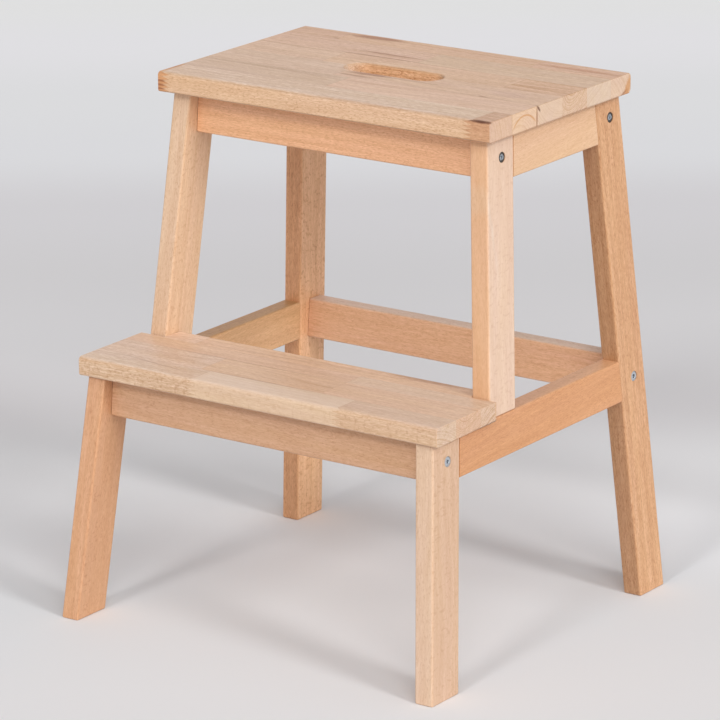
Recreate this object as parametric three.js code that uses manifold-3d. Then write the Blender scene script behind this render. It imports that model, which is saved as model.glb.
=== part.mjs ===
// Two-step wooden stool: two leaning side frames, four cross rails, a seat board and a lower step board.
// Millimetres, +Z up, the front faces -Y. The origin lies on the floor, midway between the four feet.

import * as THREE from 'three';
import { mergeVertices } from 'three/addons/utils/BufferGeometryUtils.js';
import Module from 'manifold-3d';

const wasm = await Module();
wasm.setup();

// Overall size, over the outer faces of the feet
const stoolHeight = 500;
const overallWidth = 418;
const overallDepth = 392;

// Seat board: its depth follows from the side frames that it covers
const seatWidth = 366;
const seatThickness = 19;
const seatRearOverhang = 4.7;
const seatFrontOverhang = 11.5;

// Hand hole through the seat board
const handHoleLength = 104;
const handHoleWidth = 31;
const handHoleRimRadius = 2.5;

// Lower step board: its tread lies in front of the posts, and a tongue reaches back between them
const stepHeight = 250;
const stepWidth = 398;
const stepTreadDepth = 94.5;
const stepThickness = 18;
const stepFrontOverhang = 5;
const stepTongueLength = 25;

// Long edges of both boards are rounded, their ends only have the arris taken off
const boardEdgeRadius = 4;
const boardEndArris = 1.2;

// Legs and posts: boards on edge, leaning outwards with the side frame and forwards or backwards in it
const legThickness = 19;
const legWidth = 42;
const legEdgeRadius = 2.5;
const footArris = 1;
const splayAngle = 4.26;
const frontPostAngle = 5.36;
const frontLegAngle = 6.81;
const rearLegAngle = 3.83;

// Rails
const upperSideRailHeight = 41.5;
const lowerSideRailHeight = 39;
const upperCrossRailHeight = 39.5;
const lowerCrossRailHeight = 39;
const crossRailThickness = 18.5;
const crossRailSetback = 14;
const railEdgeRadius = 2.5;
const railEndArris = 0.8;

// Room that is left between wooden faces which meet
const jointGap = 0.3;

// Dowels, which sit in blind holes on both sides of a joint
const dowelDiameter = 8;
const dowelDepthInRail = 19;
const dowelDepthInLegShare = 0.68;
const dowelEndArris = 1;
const dowelFit = 0.15;
const dowelEndRoom = 0.5;
const dowelBesideScrew = 11;
const pairShares = [0.28, 0.72];

// Countersunk screws that hold the cross rails through the legs
const frameScrewLength = 50;
const frameScrewDiameter = 5;
const frameScrewHeadDiameter = 9.5;
const frameScrewSink = 0.4;

// Screws that hold the boards from below
const boardScrewDiameter = 4;
const boardScrewHeadDiameter = 8;
const boardScrewBite = 12;
const boardScrewSpacing = 180;
const boardScrewBoreShare = 0.5;

// Shape of every screw
const screwHeadRim = 0.5;
const screwPointShare = 1.4;
const socketShare = 0.44;
const socketDepthShare = 0.26;
const screwFit = 0.15;

// How far a cut runs past the face that it opens
const cutOverrun = 2;

// Steps in a rounded corner, and sides of round pieces
const cornerSteps = 3;
const dowelSides = 10;
const screwSides = 12;
const holeSides = 28;

const turn = (degrees) => THREE.MathUtils.degToRad(degrees);
const middle = (a, b) => (a + b) / 2;

// Levels
const seatUnderside = stoolHeight - seatThickness;
const stepUnderside = stepHeight - stepThickness;

// Thickness and width of a leg as a level cut shows them
const levelThickness = legThickness / Math.cos(turn(splayAngle));
const levelWidth = (leanAngle) => legWidth / Math.cos(turn(leanAngle));

// Outer and inner face of a side frame at height z, as a distance from the middle of the stool
const outerX = (z) => overallWidth / 2 - z * Math.tan(turn(splayAngle));
const innerX = (z) => outerX(z) - levelThickness;
const middleX = (z) => middle(outerX(z), innerX(z));

// Front and back faces of the upright pieces at height z
const rearLegBack = (z) => overallDepth / 2 - z * Math.tan(turn(rearLegAngle));
const rearLegFront = (z) => rearLegBack(z) - levelWidth(rearLegAngle);
const frontLegFront = (z) => -overallDepth / 2 + z * Math.tan(turn(frontLegAngle));
const frontLegBack = (z) => frontLegFront(z) + levelWidth(frontLegAngle);

// The foot of the post stands behind the tread of the step
const stepFront = frontLegFront(stepUnderside) - stepFrontOverhang;
const notchFront = stepFront + stepTreadDepth;
const postFootFront = notchFront + jointGap;
const postFront = (z) => postFootFront + (z - stepUnderside) * Math.tan(turn(frontPostAngle));
const postBack = (z) => postFront(z) + levelWidth(frontPostAngle);

// The seat board reaches over the top of the post and of the rear leg
const seatFront = postFront(seatUnderside) - seatFrontOverhang;
const seatBack = rearLegBack(seatUnderside) + seatRearOverhang;

// Colours of the wood and the steel
const colours = {
  board: 0xe3c2a4,
  leg: 0xe6b78f,
  rail: 0xdca376,
  dowel: 0xdcb58c,
  steel: 0xb9bcc0,
};

const wood = (colour) => new THREE.MeshStandardMaterial({ color: colour, roughness: 0.62, metalness: 0 });
const zinc = () => new THREE.MeshStandardMaterial({ color: colours.steel, roughness: 0.35, metalness: 1 });

// Solid modelling helpers

// Joins the shared corners of a geometry and drops the slivers that this leaves at a pole
function toSolid(geometry) {
  const bare = geometry.clone();
  bare.deleteAttribute('normal');
  bare.deleteAttribute('uv');
  const welded = mergeVertices(bare);
  const index = welded.index.array;
  const kept = [];
  for (let i = 0; i < index.length; i += 3) {
    const [a, b, c] = [index[i], index[i + 1], index[i + 2]];
    if (a !== b && b !== c && c !== a) kept.push(a, b, c);
  }
  if (signedVolume(welded.attributes.position, kept) < 0) kept.reverse();
  const mesh = new wasm.Mesh({
    numProp: 3,
    vertProperties: new Float32Array(welded.attributes.position.array),
    triVerts: new Uint32Array(kept),
  });
  return new wasm.Manifold(mesh);
}

// Positive where the faces point outwards
function signedVolume(position, triangles) {
  const [a, b, c] = [new THREE.Vector3(), new THREE.Vector3(), new THREE.Vector3()];
  let volume = 0;
  for (let i = 0; i < triangles.length; i += 3) {
    a.fromBufferAttribute(position, triangles[i]);
    b.fromBufferAttribute(position, triangles[i + 1]);
    c.fromBufferAttribute(position, triangles[i + 2]);
    volume += a.dot(b.cross(c));
  }
  return volume;
}

function toGeometry(solid) {
  const mesh = solid.getMesh();
  const geometry = new THREE.BufferGeometry();
  geometry.setAttribute('position', new THREE.BufferAttribute(new Float32Array(mesh.vertProperties), 3));
  geometry.setIndex(new THREE.BufferAttribute(new Uint32Array(mesh.triVerts), 1));
  geometry.computeVertexNormals();
  return geometry;
}

function cut(geometry, cutters) {
  let solid = toSolid(geometry);
  for (const cutter of cutters) solid = solid.subtract(toSolid(cutter));
  return toGeometry(solid);
}

// Moves every corner of a geometry to the place that the function gives it
function reshape(geometry, place) {
  const position = geometry.attributes.position;
  for (let i = 0; i < position.count; i += 1) {
    const [x, y, z] = place(position.getX(i), position.getY(i), position.getZ(i));
    position.setXYZ(i, x, y, z);
  }
  return geometry;
}

// A straight bar with rounded long edges and a small arris round both ends, standing on end
function bar(width, height, edgeRadius, length, arris) {
  const points = [];
  const corners = [
    [width - edgeRadius, height - edgeRadius, 0],
    [edgeRadius, height - edgeRadius, 1],
    [edgeRadius, edgeRadius, 2],
    [width - edgeRadius, edgeRadius, 3],
  ];
  for (const [x, y, quarter] of corners) {
    for (let step = 0; step <= cornerSteps; step += 1) {
      const angle = (quarter + step / cornerSteps) * Math.PI / 2;
      points.push(new THREE.Vector2(x + edgeRadius * Math.cos(angle), y + edgeRadius * Math.sin(angle)));
    }
  }
  const geometry = new THREE.ExtrudeGeometry(new THREE.Shape(points), {
    depth: length - 2 * arris,
    bevelEnabled: true,
    bevelThickness: arris,
    bevelSize: arris,
    bevelOffset: -arris,
    bevelSegments: 1,
  });
  return geometry.translate(0, 0, arris);
}

// A round profile, given as [radius, height] pairs from the axis back to the axis, turned about Z
function turned(profile, sides) {
  const points = profile.map(([radius, height]) => new THREE.Vector2(radius, height));
  return new THREE.LatheGeometry(points, sides).rotateX(Math.PI / 2);
}

function cylinder(radius, from, to, sides) {
  return turned([[0, from], [radius, from], [radius, to], [0, to]], sides);
}

// Turns +Z to a direction and moves the origin to a place
function aimed(place, direction) {
  const aim = new THREE.Quaternion().setFromUnitVectors(new THREE.Vector3(0, 0, 1), direction.clone().normalize());
  return new THREE.Matrix4().compose(place, aim, new THREE.Vector3(1, 1, 1));
}

// Wooden pieces wait here with the holes that the fasteners need, until all of them are known
const woodenPieces = new Map();

function addWood(name, geometry, colour, cutters = []) {
  woodenPieces.set(name, { geometry, colour, cutters: [...cutters] });
}

const hardware = [];

function addHardware(name, geometry, matrix, material) {
  const mesh = new THREE.Mesh(geometry, material);
  mesh.name = name;
  mesh.applyMatrix4(matrix);
  hardware.push(mesh);
}

function bore(pieceName, cutter, matrix) {
  woodenPieces.get(pieceName).cutters.push(cutter.clone().applyMatrix4(matrix));
}

const sides = [['left', -1], ['right', 1]];

// Legs and posts

// An upright piece: level sections of one size, carried along by the lean of its faces
function upright(side, frontAt, leanAngle, from, to) {
  const geometry = bar(levelThickness, levelWidth(leanAngle), legEdgeRadius, to - from, footArris);
  return reshape(geometry, (depthIn, back, up) => {
    const z = from + up;
    return [side * (outerX(z) - depthIn), frontAt(z) + back, z];
  });
}

for (const [sideName, side] of sides) {
  addWood(`rear_leg_${sideName}`,
    upright(side, rearLegFront, rearLegAngle, 0, seatUnderside - jointGap), colours.leg);
  addWood(`front_post_${sideName}`,
    upright(side, postFront, frontPostAngle, stepUnderside, seatUnderside - jointGap), colours.leg);
  addWood(`front_leg_${sideName}`,
    upright(side, frontLegFront, frontLegAngle, 0, stepUnderside - jointGap), colours.leg);
}

// Side rails, which lean with the side frame and end on the slanting edges of the uprights

function sideRail(side, top, height, startAt, endAt) {
  const length = endAt(top) - startAt(top);
  const geometry = bar(levelThickness, height, railEdgeRadius, length, railEndArris);
  return reshape(geometry, (depthIn, up, along) => {
    const z = top - height + up;
    const start = startAt(z) + jointGap;
    const end = endAt(z) - jointGap;
    return [side * (outerX(z) - depthIn), THREE.MathUtils.lerp(start, end, along / length), z];
  });
}

const upperRailTop = seatUnderside - jointGap;
const lowerRailTop = stepUnderside - jointGap;

for (const [sideName, side] of sides) {
  addWood(`upper_side_rail_${sideName}`,
    sideRail(side, upperRailTop, upperSideRailHeight, postBack, rearLegFront), colours.rail);
  addWood(`lower_side_rail_${sideName}`,
    sideRail(side, lowerRailTop, lowerSideRailHeight, frontLegBack, rearLegFront), colours.rail);
}

// Cross rails, which stand upright between the leaning inner faces of the side frames

function crossRail(top, height, front) {
  const length = 2 * innerX(top);
  const geometry = bar(crossRailThickness, height, railEdgeRadius, length, railEndArris);
  return reshape(geometry, (back, up, along) => {
    const z = top - height + up;
    const reach = innerX(z) - jointGap;
    return [(2 * along / length - 1) * reach, front + back, z];
  });
}

const crossRails = [
  { name: 'upper_front_rail', top: upperRailTop, height: upperCrossRailHeight, faceAt: postFront, post: 'front_post' },
  { name: 'upper_rear_rail', top: upperRailTop, height: upperCrossRailHeight, faceAt: rearLegFront, post: 'rear_leg' },
  { name: 'lower_front_rail', top: lowerRailTop, height: lowerCrossRailHeight, faceAt: frontLegFront, post: 'front_leg' },
  { name: 'middle_rear_rail', top: lowerRailTop, height: lowerCrossRailHeight, faceAt: rearLegFront, post: 'rear_leg' },
];

for (const rail of crossRails) {
  rail.middleZ = rail.top - rail.height / 2;
  rail.front = rail.faceAt(rail.middleZ) + crossRailSetback;
  rail.middleY = rail.front + crossRailThickness / 2;
  addWood(rail.name, crossRail(rail.top, rail.height, rail.front), colours.rail);
}

// Boards

function board(width, depth, thickness, front, underside) {
  const geometry = bar(depth, thickness, boardEdgeRadius, width, boardEndArris);
  return reshape(geometry, (back, up, along) => [along - width / 2, front + back, underside + up]);
}

// The hand hole is a slot with round ends, whose rims are rounded on both faces
function handHoleCutter() {
  const radius = handHoleWidth / 2;
  const straight = handHoleLength / 2 - radius;
  const profile = [[0, -cutOverrun], [radius + handHoleRimRadius, -cutOverrun]];
  for (let step = 0; step <= cornerSteps; step += 1) {
    const angle = step / cornerSteps * Math.PI / 2;
    profile.push([
      radius + handHoleRimRadius * (1 - Math.sin(angle)),
      handHoleRimRadius * (1 - Math.cos(angle)),
    ]);
  }
  const lowerHalf = profile.slice(1);
  for (const [out, up] of lowerHalf.reverse()) profile.push([out, seatThickness - up]);
  profile.push([0, seatThickness + cutOverrun]);
  const geometry = turned(profile, holeSides).rotateZ(Math.PI / holeSides);
  return reshape(geometry, (x, y, z) => [
    x + Math.sign(x) * straight * Number(Math.hypot(x, y) > radius / 2),
    middle(seatFront, seatBack) + y,
    seatUnderside + z,
  ]);
}

addWood('seat_board', board(seatWidth, seatBack - seatFront, seatThickness, seatFront, seatUnderside),
  colours.board, [handHoleCutter()]);

// The step board is notched at both rear corners, so that its tongue passes between the front posts
const notchSide = innerX(stepHeight) - jointGap;
const stepBack = notchFront + stepTongueLength;

function notchCutter(side) {
  const width = stepWidth / 2 - notchSide + cutOverrun;
  const depth = stepTongueLength + cutOverrun;
  const height = stepThickness + 2 * cutOverrun;
  return new THREE.BoxGeometry(width, depth, height).translate(
    side * (notchSide + width / 2), notchFront + depth / 2, middle(stepUnderside, stepHeight));
}

addWood('step_board', board(stepWidth, stepBack - stepFront, stepThickness, stepFront, stepUnderside),
  colours.board, sides.map(([, side]) => notchCutter(side)));

// Dowels

const dowelDepthInLeg = legThickness * dowelDepthInLegShare;

// A dowel across a joint at the origin of its matrix, with its long end along +Z in the rail
function addDowel(name, legName, railName, matrix) {
  const radius = dowelDiameter / 2;
  const low = -dowelDepthInLeg + dowelEndRoom;
  const high = dowelDepthInRail - dowelEndRoom;
  const pin = turned([
    [0, low],
    [radius - dowelEndArris, low],
    [radius, low + dowelEndArris],
    [radius, high - dowelEndArris],
    [radius - dowelEndArris, high],
    [0, high],
  ], dowelSides);
  const hole = cylinder(radius + dowelFit, -dowelDepthInLeg, dowelDepthInRail, dowelSides);
  addHardware(name, toGeometry(toSolid(pin)), matrix, wood(colours.dowel));
  bore(legName, hole, matrix);
  bore(railName, hole, matrix);
}

// Two dowels at each end of a side rail, level and in the middle of its thickness
function addRailEndDowels(sideName, side, railName, top, height, legName, faceAt, into) {
  pairShares.forEach((share, number) => {
    const z = top - height + share * height;
    const place = new THREE.Vector3(side * middleX(z), faceAt(z), z);
    const direction = new THREE.Vector3(0, into, 0);
    addDowel(`dowel_${railName}_${legName}_${sideName}_${number + 1}`,
      `${legName}_${sideName}`, `${railName}_${sideName}`, aimed(place, direction));
  });
}

// Direction up the slope of a side frame, and square out of its outer face
const upSlope = (side) => new THREE.Vector3(-side * Math.tan(turn(splayAngle)), 0, 1).normalize();
const outward = (side) => new THREE.Vector3(side * Math.cos(turn(splayAngle)), 0, Math.sin(turn(splayAngle)));

for (const [sideName, side] of sides) {
  addRailEndDowels(sideName, side, 'upper_side_rail', upperRailTop, upperSideRailHeight, 'front_post', postBack, 1);
  addRailEndDowels(sideName, side, 'upper_side_rail', upperRailTop, upperSideRailHeight, 'rear_leg', rearLegFront, -1);
  addRailEndDowels(sideName, side, 'lower_side_rail', lowerRailTop, lowerSideRailHeight, 'front_leg', frontLegBack, 1);
  addRailEndDowels(sideName, side, 'lower_side_rail', lowerRailTop, lowerSideRailHeight, 'rear_leg', rearLegFront, -1);

  // Two dowels hold the foot of the front post on the lower side rail
  pairShares.forEach((share, number) => {
    const y = THREE.MathUtils.lerp(postFront(stepUnderside), postBack(stepUnderside), share);
    const place = new THREE.Vector3(side * middleX(stepUnderside), y, stepUnderside);
    addDowel(`dowel_front_post_foot_${sideName}_${number + 1}`,
      `front_post_${sideName}`, `lower_side_rail_${sideName}`, aimed(place, upSlope(side).negate()));
  });
}

// Screws

// A countersunk screw with a six-sided socket: the top of its head is at the origin, its point along -Z
function screwGeometry(length, diameter, headDiameter) {
  const radius = diameter / 2;
  const headRadius = headDiameter / 2;
  const neck = screwHeadRim + headRadius - radius;
  const body = turned([
    [0, -length],
    [radius, -length + radius * screwPointShare],
    [radius, -neck],
    [headRadius, -screwHeadRim],
    [headRadius, 0],
    [0, 0],
  ], screwSides);
  const socketDepth = headDiameter * socketDepthShare;
  const socket = new THREE.CylinderGeometry(headRadius * socketShare, headRadius * socketShare, 2 * socketDepth, 6);
  return cut(body, [socket.rotateX(Math.PI / 2)]);
}

// The hole for such a screw, open above the head by the given room
function screwHoleCutter(length, diameter, headDiameter, room) {
  const radius = diameter / 2 + screwFit;
  const headRadius = headDiameter / 2 + screwFit;
  const rim = screwHeadRim + screwFit;
  return turned([
    [0, -length - screwFit],
    [radius, -length - screwFit],
    [radius, -rim - headRadius + radius],
    [headRadius, -rim],
    [headRadius, room],
    [0, room],
  ], screwSides);
}

for (const rail of crossRails) {
  for (const [sideName, side] of sides) {
    const legName = `${rail.post}_${sideName}`;
    const out = outward(side);

    const face = new THREE.Vector3(side * outerX(rail.middleZ), rail.middleY, rail.middleZ);
    const headMatrix = aimed(face.addScaledVector(out, -frameScrewSink), out);
    const hole = screwHoleCutter(frameScrewLength, frameScrewDiameter, frameScrewHeadDiameter,
      frameScrewSink + cutOverrun);
    addHardware(`screw_${rail.name}_${sideName}`,
      screwGeometry(frameScrewLength, frameScrewDiameter, frameScrewHeadDiameter), headMatrix, zinc());
    bore(legName, hole, headMatrix);
    bore(rail.name, hole, headMatrix);

    // One dowel below the screw keeps the rail from turning
    const dowelZ = rail.middleZ - dowelBesideScrew;
    const joint = new THREE.Vector3(side * innerX(dowelZ), rail.middleY, dowelZ);
    addDowel(`dowel_${rail.name}_${sideName}`, legName, rail.name, aimed(joint, out.clone().negate()));
  }
}

// A screw from below through a rail into a board: place is where its line meets the board's underside
function addBoardScrew(name, railName, railHeight, boardName, place, up) {
  const slope = up.clone().normalize();
  const boreDepth = railHeight * boardScrewBoreShare;
  const length = boardScrewBite + (railHeight - boreDepth) / slope.z;
  const head = place.clone().addScaledVector(slope, boardScrewBite - length);
  const matrix = aimed(head, slope.clone().negate());
  const hole = screwHoleCutter(length, boardScrewDiameter, boardScrewHeadDiameter, boreDepth + cutOverrun);
  addHardware(name, screwGeometry(length, boardScrewDiameter, boardScrewHeadDiameter), matrix, zinc());
  bore(railName, hole, matrix);
  bore(boardName, hole, matrix);
}

const straightUp = new THREE.Vector3(0, 0, 1);
const boardFixings = [
  { rail: crossRails[0], boardName: 'seat_board', underside: seatUnderside },
  { rail: crossRails[1], boardName: 'seat_board', underside: seatUnderside },
  { rail: crossRails[2], boardName: 'step_board', underside: stepUnderside },
];

for (const { rail, boardName, underside } of boardFixings) {
  for (const [sideName, side] of sides) {
    const place = new THREE.Vector3(side * boardScrewSpacing / 2, rail.middleY, underside);
    addBoardScrew(`board_screw_${rail.name}_${sideName}`, rail.name, rail.height, boardName, place, straightUp);
  }
}

// The step board is also held through both lower side rails, between the leg dowels and the post
for (const [sideName, side] of sides) {
  const y = middle(frontLegBack(stepUnderside) + dowelDepthInRail, postFront(stepUnderside));
  const place = new THREE.Vector3(side * middleX(stepUnderside), y, stepUnderside);
  addBoardScrew(`board_screw_lower_side_rail_${sideName}`, `lower_side_rail_${sideName}`, lowerSideRailHeight,
    'step_board', place, upSlope(side));
}

// Assembly

const stool = new THREE.Group();
const woodwork = new THREE.Group();
const fasteners = new THREE.Group();

for (const [name, { geometry, colour, cutters }] of woodenPieces) {
  const mesh = new THREE.Mesh(cut(geometry, cutters), wood(colour));
  mesh.name = name;
  woodwork.add(mesh);
}
fasteners.add(...hardware);
stool.add(woodwork, fasteners);

export default stool;
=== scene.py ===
# %% [markdown]
# # A two-step stool in oiled beech
# This lesson dresses a stool that has already been constructed as exact solids. Those solids are loaded
# first and stay where they are. Round them we make the wood and steel that the eye sees: sawn and rounded
# bars, boards glued up from finger-jointed staves, and zinc-plated screws.
# Everything is in metres, +Z is up, and the front of the stool faces -Y.

import math

import bmesh
import bpy
import numpy as np
from mathutils import Matrix, Vector


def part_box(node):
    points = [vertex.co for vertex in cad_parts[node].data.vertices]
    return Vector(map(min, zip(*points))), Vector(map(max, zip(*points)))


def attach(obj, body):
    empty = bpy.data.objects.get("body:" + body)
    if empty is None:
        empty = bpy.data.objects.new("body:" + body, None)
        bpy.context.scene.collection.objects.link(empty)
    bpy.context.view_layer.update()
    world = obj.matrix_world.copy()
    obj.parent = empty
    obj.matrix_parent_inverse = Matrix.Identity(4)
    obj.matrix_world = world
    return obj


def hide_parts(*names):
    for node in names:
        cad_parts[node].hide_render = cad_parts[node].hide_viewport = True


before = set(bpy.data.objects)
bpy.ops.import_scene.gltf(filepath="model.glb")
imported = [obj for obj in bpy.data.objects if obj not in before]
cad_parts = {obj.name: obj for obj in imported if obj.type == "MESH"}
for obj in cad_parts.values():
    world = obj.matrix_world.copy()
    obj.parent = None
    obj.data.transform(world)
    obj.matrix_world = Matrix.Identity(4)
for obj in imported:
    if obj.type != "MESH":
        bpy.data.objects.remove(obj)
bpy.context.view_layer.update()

# %% [markdown]
# # The camera
# A product photograph is taken from far away with a long lens, so that upright pieces stay nearly upright.
# A camera can be placed by hand or with a constraint. Here its place, the point it looks at and a small
# tilt are numbers, and a matrix is built from them, because that gives the same view each time.

# %% Place the camera
MM = 0.001
CAMERA_PLACE = Vector((2261.9, -3212.25, 1415.95)) * MM
CAMERA_AIM = Vector((4.9, -13.15, 240.5)) * MM
CAMERA_ROLL = math.radians(-0.43)
CAMERA_LENS, SENSOR_WIDTH = 221.47, 36


def add_object(name, data):
    """A new object with the given data, in the scene."""
    made = bpy.data.objects.new(name, data)
    bpy.context.scene.collection.objects.link(made)
    return made


def aim_camera(place, aim, roll, lens):
    """A camera that looks from one point to another, turned by a roll about its own line of sight."""
    sight = (aim - place).normalized()
    level = sight.cross(Vector((0, 0, 1))).normalized()
    upright = level.cross(sight)
    right = level * math.cos(roll) + upright * math.sin(roll)
    up = upright * math.cos(roll) - level * math.sin(roll)
    data = bpy.data.cameras.new("camera")
    data.lens, data.sensor_width = lens, SENSOR_WIDTH
    camera = add_object("camera", data)
    turn = Matrix((right, up, -sight)).transposed().to_4x4()
    camera.matrix_world = Matrix.Translation(place) @ turn
    return camera


bpy.context.scene.camera = aim_camera(CAMERA_PLACE, CAMERA_AIM, CAMERA_ROLL, CAMERA_LENS)
bpy.context.scene.view_settings.view_transform = "Standard"
print("camera at", tuple(CAMERA_PLACE))

# %% [markdown]
# # Sizes of the stool
# The two side frames splay outwards towards the floor, and in each frame the legs also lean forwards or
# backwards. Each leaning face is a straight line in height, so a small function gives its place at any
# height. Sizes here are millimetres, as on a workshop drawing.

# %% Leaning faces as functions of height
FOOT_OUTSIDE, FOOT_BACK, FOOT_FRONT = 209, 196, -196
LEG_THICKNESS, LEG_WIDTH = 19, 42
SPLAY, POST_LEAN, FRONT_LEAN, REAR_LEAN = (math.radians(a) for a in (4.26, 5.36, 6.81, 3.83))
SEAT_TOP, SEAT_UNDERSIDE, STEP_TOP, STEP_UNDERSIDE = 500, 481, 250, 232
JOINT_GAP = 0.3
POST_FOOT_FRONT = -78.49


def level_width(lean):
    """The width of a leg where a level cut goes through it."""
    return LEG_WIDTH / math.cos(lean)


def outside(z):
    return FOOT_OUTSIDE - z * math.tan(SPLAY)


def inside(z):
    return outside(z) - LEG_THICKNESS / math.cos(SPLAY)


def rear_leg_front(z):
    return FOOT_BACK - z * math.tan(REAR_LEAN) - level_width(REAR_LEAN)


def front_leg_front(z):
    return FOOT_FRONT + z * math.tan(FRONT_LEAN)


def front_leg_back(z):
    return front_leg_front(z) + level_width(FRONT_LEAN)


def post_front(z):
    return POST_FOOT_FRONT + (z - STEP_UNDERSIDE) * math.tan(POST_LEAN)


def post_back(z):
    return post_front(z) + level_width(POST_LEAN)


print("post front at its foot and top:", post_front(STEP_UNDERSIDE), post_front(SEAT_UNDERSIDE))

# %% [markdown]
# # Adding and picking
# Every piece of wood starts as a plain block, as it does on the bench. A block is a cube primitive added at
# its size and place. Its place is then written into its mesh, so that each object sits at the origin and
# patterns that follow the mesh can't slide.
# Operators act on all that is selected, so each step deselects everything and picks faces or edges by test.

# %% Blocks, and picking parts of a mesh
def only(piece):
    """Makes a piece the only selected one."""
    bpy.ops.object.select_all(action="DESELECT")
    bpy.context.view_layer.objects.active = piece
    piece.select_set(True)
    return piece


def settle(piece):
    """Writes a piece's place, turn and scale into its mesh."""
    only(piece)
    bpy.ops.object.transform_apply(location=True, rotation=True, scale=True)
    return piece


def add_block(name, low, high):
    """A block between two corners, in millimetres."""
    centre = [(a + b) / 2 * MM for a, b in zip(low, high)]
    size = [(b - a) * MM for a, b in zip(low, high)]
    bpy.ops.object.select_all(action="DESELECT")
    bpy.ops.mesh.primitive_cube_add(size=1, location=centre, scale=size)
    bpy.context.object.name = bpy.context.object.data.name = name
    return settle(bpy.context.object)


def add_rod(sides, radius, low, high, turn=0.0):
    """An upright rod round the origin between two heights, in millimetres, turned about its axis."""
    bpy.ops.object.select_all(action="DESELECT")
    bpy.ops.mesh.primitive_cylinder_add(vertices=sides, radius=radius * MM, depth=(high - low) * MM,
                                        location=(0, 0, (low + high) / 2 * MM), rotation=(0, 0, turn))
    return settle(bpy.context.object)


def pick(piece, kind, test):
    """Opens a piece in edit mode with only the vertices, edges or faces selected that pass a test."""
    only(piece)
    bpy.ops.object.mode_set(mode="EDIT")
    bpy.ops.mesh.select_mode(type=kind)
    bpy.ops.mesh.select_all(action="DESELECT")
    shape = bmesh.from_edit_mesh(piece.data)
    shape.normal_update()
    parts = {"VERT": shape.verts, "EDGE": shape.edges, "FACE": shape.faces}[kind]
    found = [part for part in parts if test(part)]
    for part in found:
        part.select_set(True)
    bmesh.update_edit_mesh(piece.data)
    return len(found)


def close(piece):
    """Leaves edit mode."""
    bpy.ops.object.mode_set(mode="OBJECT")
    return piece


print("block and picking helpers ready")

# %% [markdown]
# # Leaning, sawing and easing
# A leg is a block whose top is pushed sideways, so its level sections stay the same size. A rail is left
# too long and its ends are sawn along the slanting faces it meets: Blender's saw is bisect, which cuts
# along a plane, throws one side away and closes the cut.
# Last, the long edges are rounded over and the sharp arrises of the ends are taken off. A bevel with several
# segments is the round-over, and a bevel with two is the touch of sandpaper.

# %% Lean, saw and round over
EDGE_RADIUS, EDGE_STEPS = 2.0, 5
FOOT_ARRIS, RAIL_ARRIS, TIGHT_ARRIS, ARRIS_STEPS = 1.5, 0.4, 0.25, 2
NEAR, LEVEL_ROOM, END_ZONE = 1, 0.01, 0.75


def lean(piece, top, shift_x, shift_y):
    """Pushes the top face of a block sideways, in millimetres."""
    pick(piece, "VERT", lambda v: v.co.z > (top - NEAR) * MM)
    bpy.ops.transform.translate(value=(shift_x * MM, shift_y * MM, 0))
    return close(piece)


def saw(piece, place, outwards):
    """Cuts along a plane through a point in millimetres, and keeps the side its normal points away from."""
    pick(piece, "FACE", lambda f: True)
    bpy.ops.mesh.bisect(plane_co=Vector(place) * MM, plane_no=outwards, use_fill=True, clear_outer=True)
    return close(piece)


def along(axis, share=0.95):
    """A test for edges that run along an axis."""
    def test(edge):
        run = edge.verts[1].co - edge.verts[0].co
        return abs(run.normalized()["XYZ".index(axis)]) > share
    return test


def round_over(piece, test, radius, segments):
    """Rounds the edges that pass a test, to a radius in millimetres."""
    count = pick(piece, "EDGE", test)
    bpy.ops.mesh.bevel(offset=radius * MM, segments=segments, profile=0.5, affect="EDGES",
                       clamp_overlap=False)
    close(piece)
    return count


def ends(piece, axis, share=0.97):
    """A test for the edges round both end faces of a bar along an axis."""
    number = "XYZ".index(axis)
    places = [v.co[number] for v in piece.data.vertices]
    middle, reach = (max(places) + min(places)) / 2, (max(places) - min(places)) / 2

    def is_end(face):
        out = abs(face.calc_center_median()[number] - middle) > END_ZONE * reach
        return out and abs(face.normal[number]) > share

    def test(edge):
        return sum(is_end(face) for face in edge.link_faces) == 1
    return test


def ease_bar(piece, axis, arris):
    """Rounds a bar's four long edges and takes the arris off both ends."""
    long_edges = round_over(piece, along(axis), EDGE_RADIUS, EDGE_STEPS)
    end_edges = round_over(piece, ends(piece, axis), arris, ARRIS_STEPS)
    print(piece.name, "long edges:", long_edges, "end edges:", end_edges)
    return piece


print("saw and round-over ready, long edges get a radius of", EDGE_RADIUS, "mm")

# %% [markdown]
# # Legs and posts
# The real legs are beech bars of 19 by 42 mm. Each one could be drawn as an outline and extruded, but a
# block that is leaned keeps the same six faces that a joiner's bar has, so it is made that way.

# %% Make the six uprights
SIDES = {"left": -1, "right": 1}
UPRIGHTS = {
    "rear_leg": (rear_leg_front, level_width(REAR_LEAN), 0, SEAT_UNDERSIDE - JOINT_GAP),
    "front_post": (post_front, level_width(POST_LEAN), STEP_UNDERSIDE, SEAT_UNDERSIDE - JOINT_GAP),
    "front_leg": (front_leg_front, level_width(FRONT_LEAN), 0, STEP_UNDERSIDE - JOINT_GAP),
}
wood = {}


def span(side, a, b):
    """Two distances from the middle, as low and high X on one side of the stool."""
    return sorted((side * a, side * b))


def make_upright(node, side, front, width, foot, top):
    """A leaning bar: level sections of one size, carried along by its faces."""
    x_low, x_high = span(side, inside(foot), outside(foot))
    piece = add_block(node + "_beech", (x_low, front(foot), foot), (x_high, front(foot) + width, top))
    lean(piece, top, side * (outside(top) - outside(foot)), front(top) - front(foot))
    return ease_bar(piece, "Z", FOOT_ARRIS)


for kind, (front, width, foot, top) in UPRIGHTS.items():
    for side_name, side in SIDES.items():
        node = f"{kind}_{side_name}"
        wood[node] = make_upright(node, side, front, width, foot, top)

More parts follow.
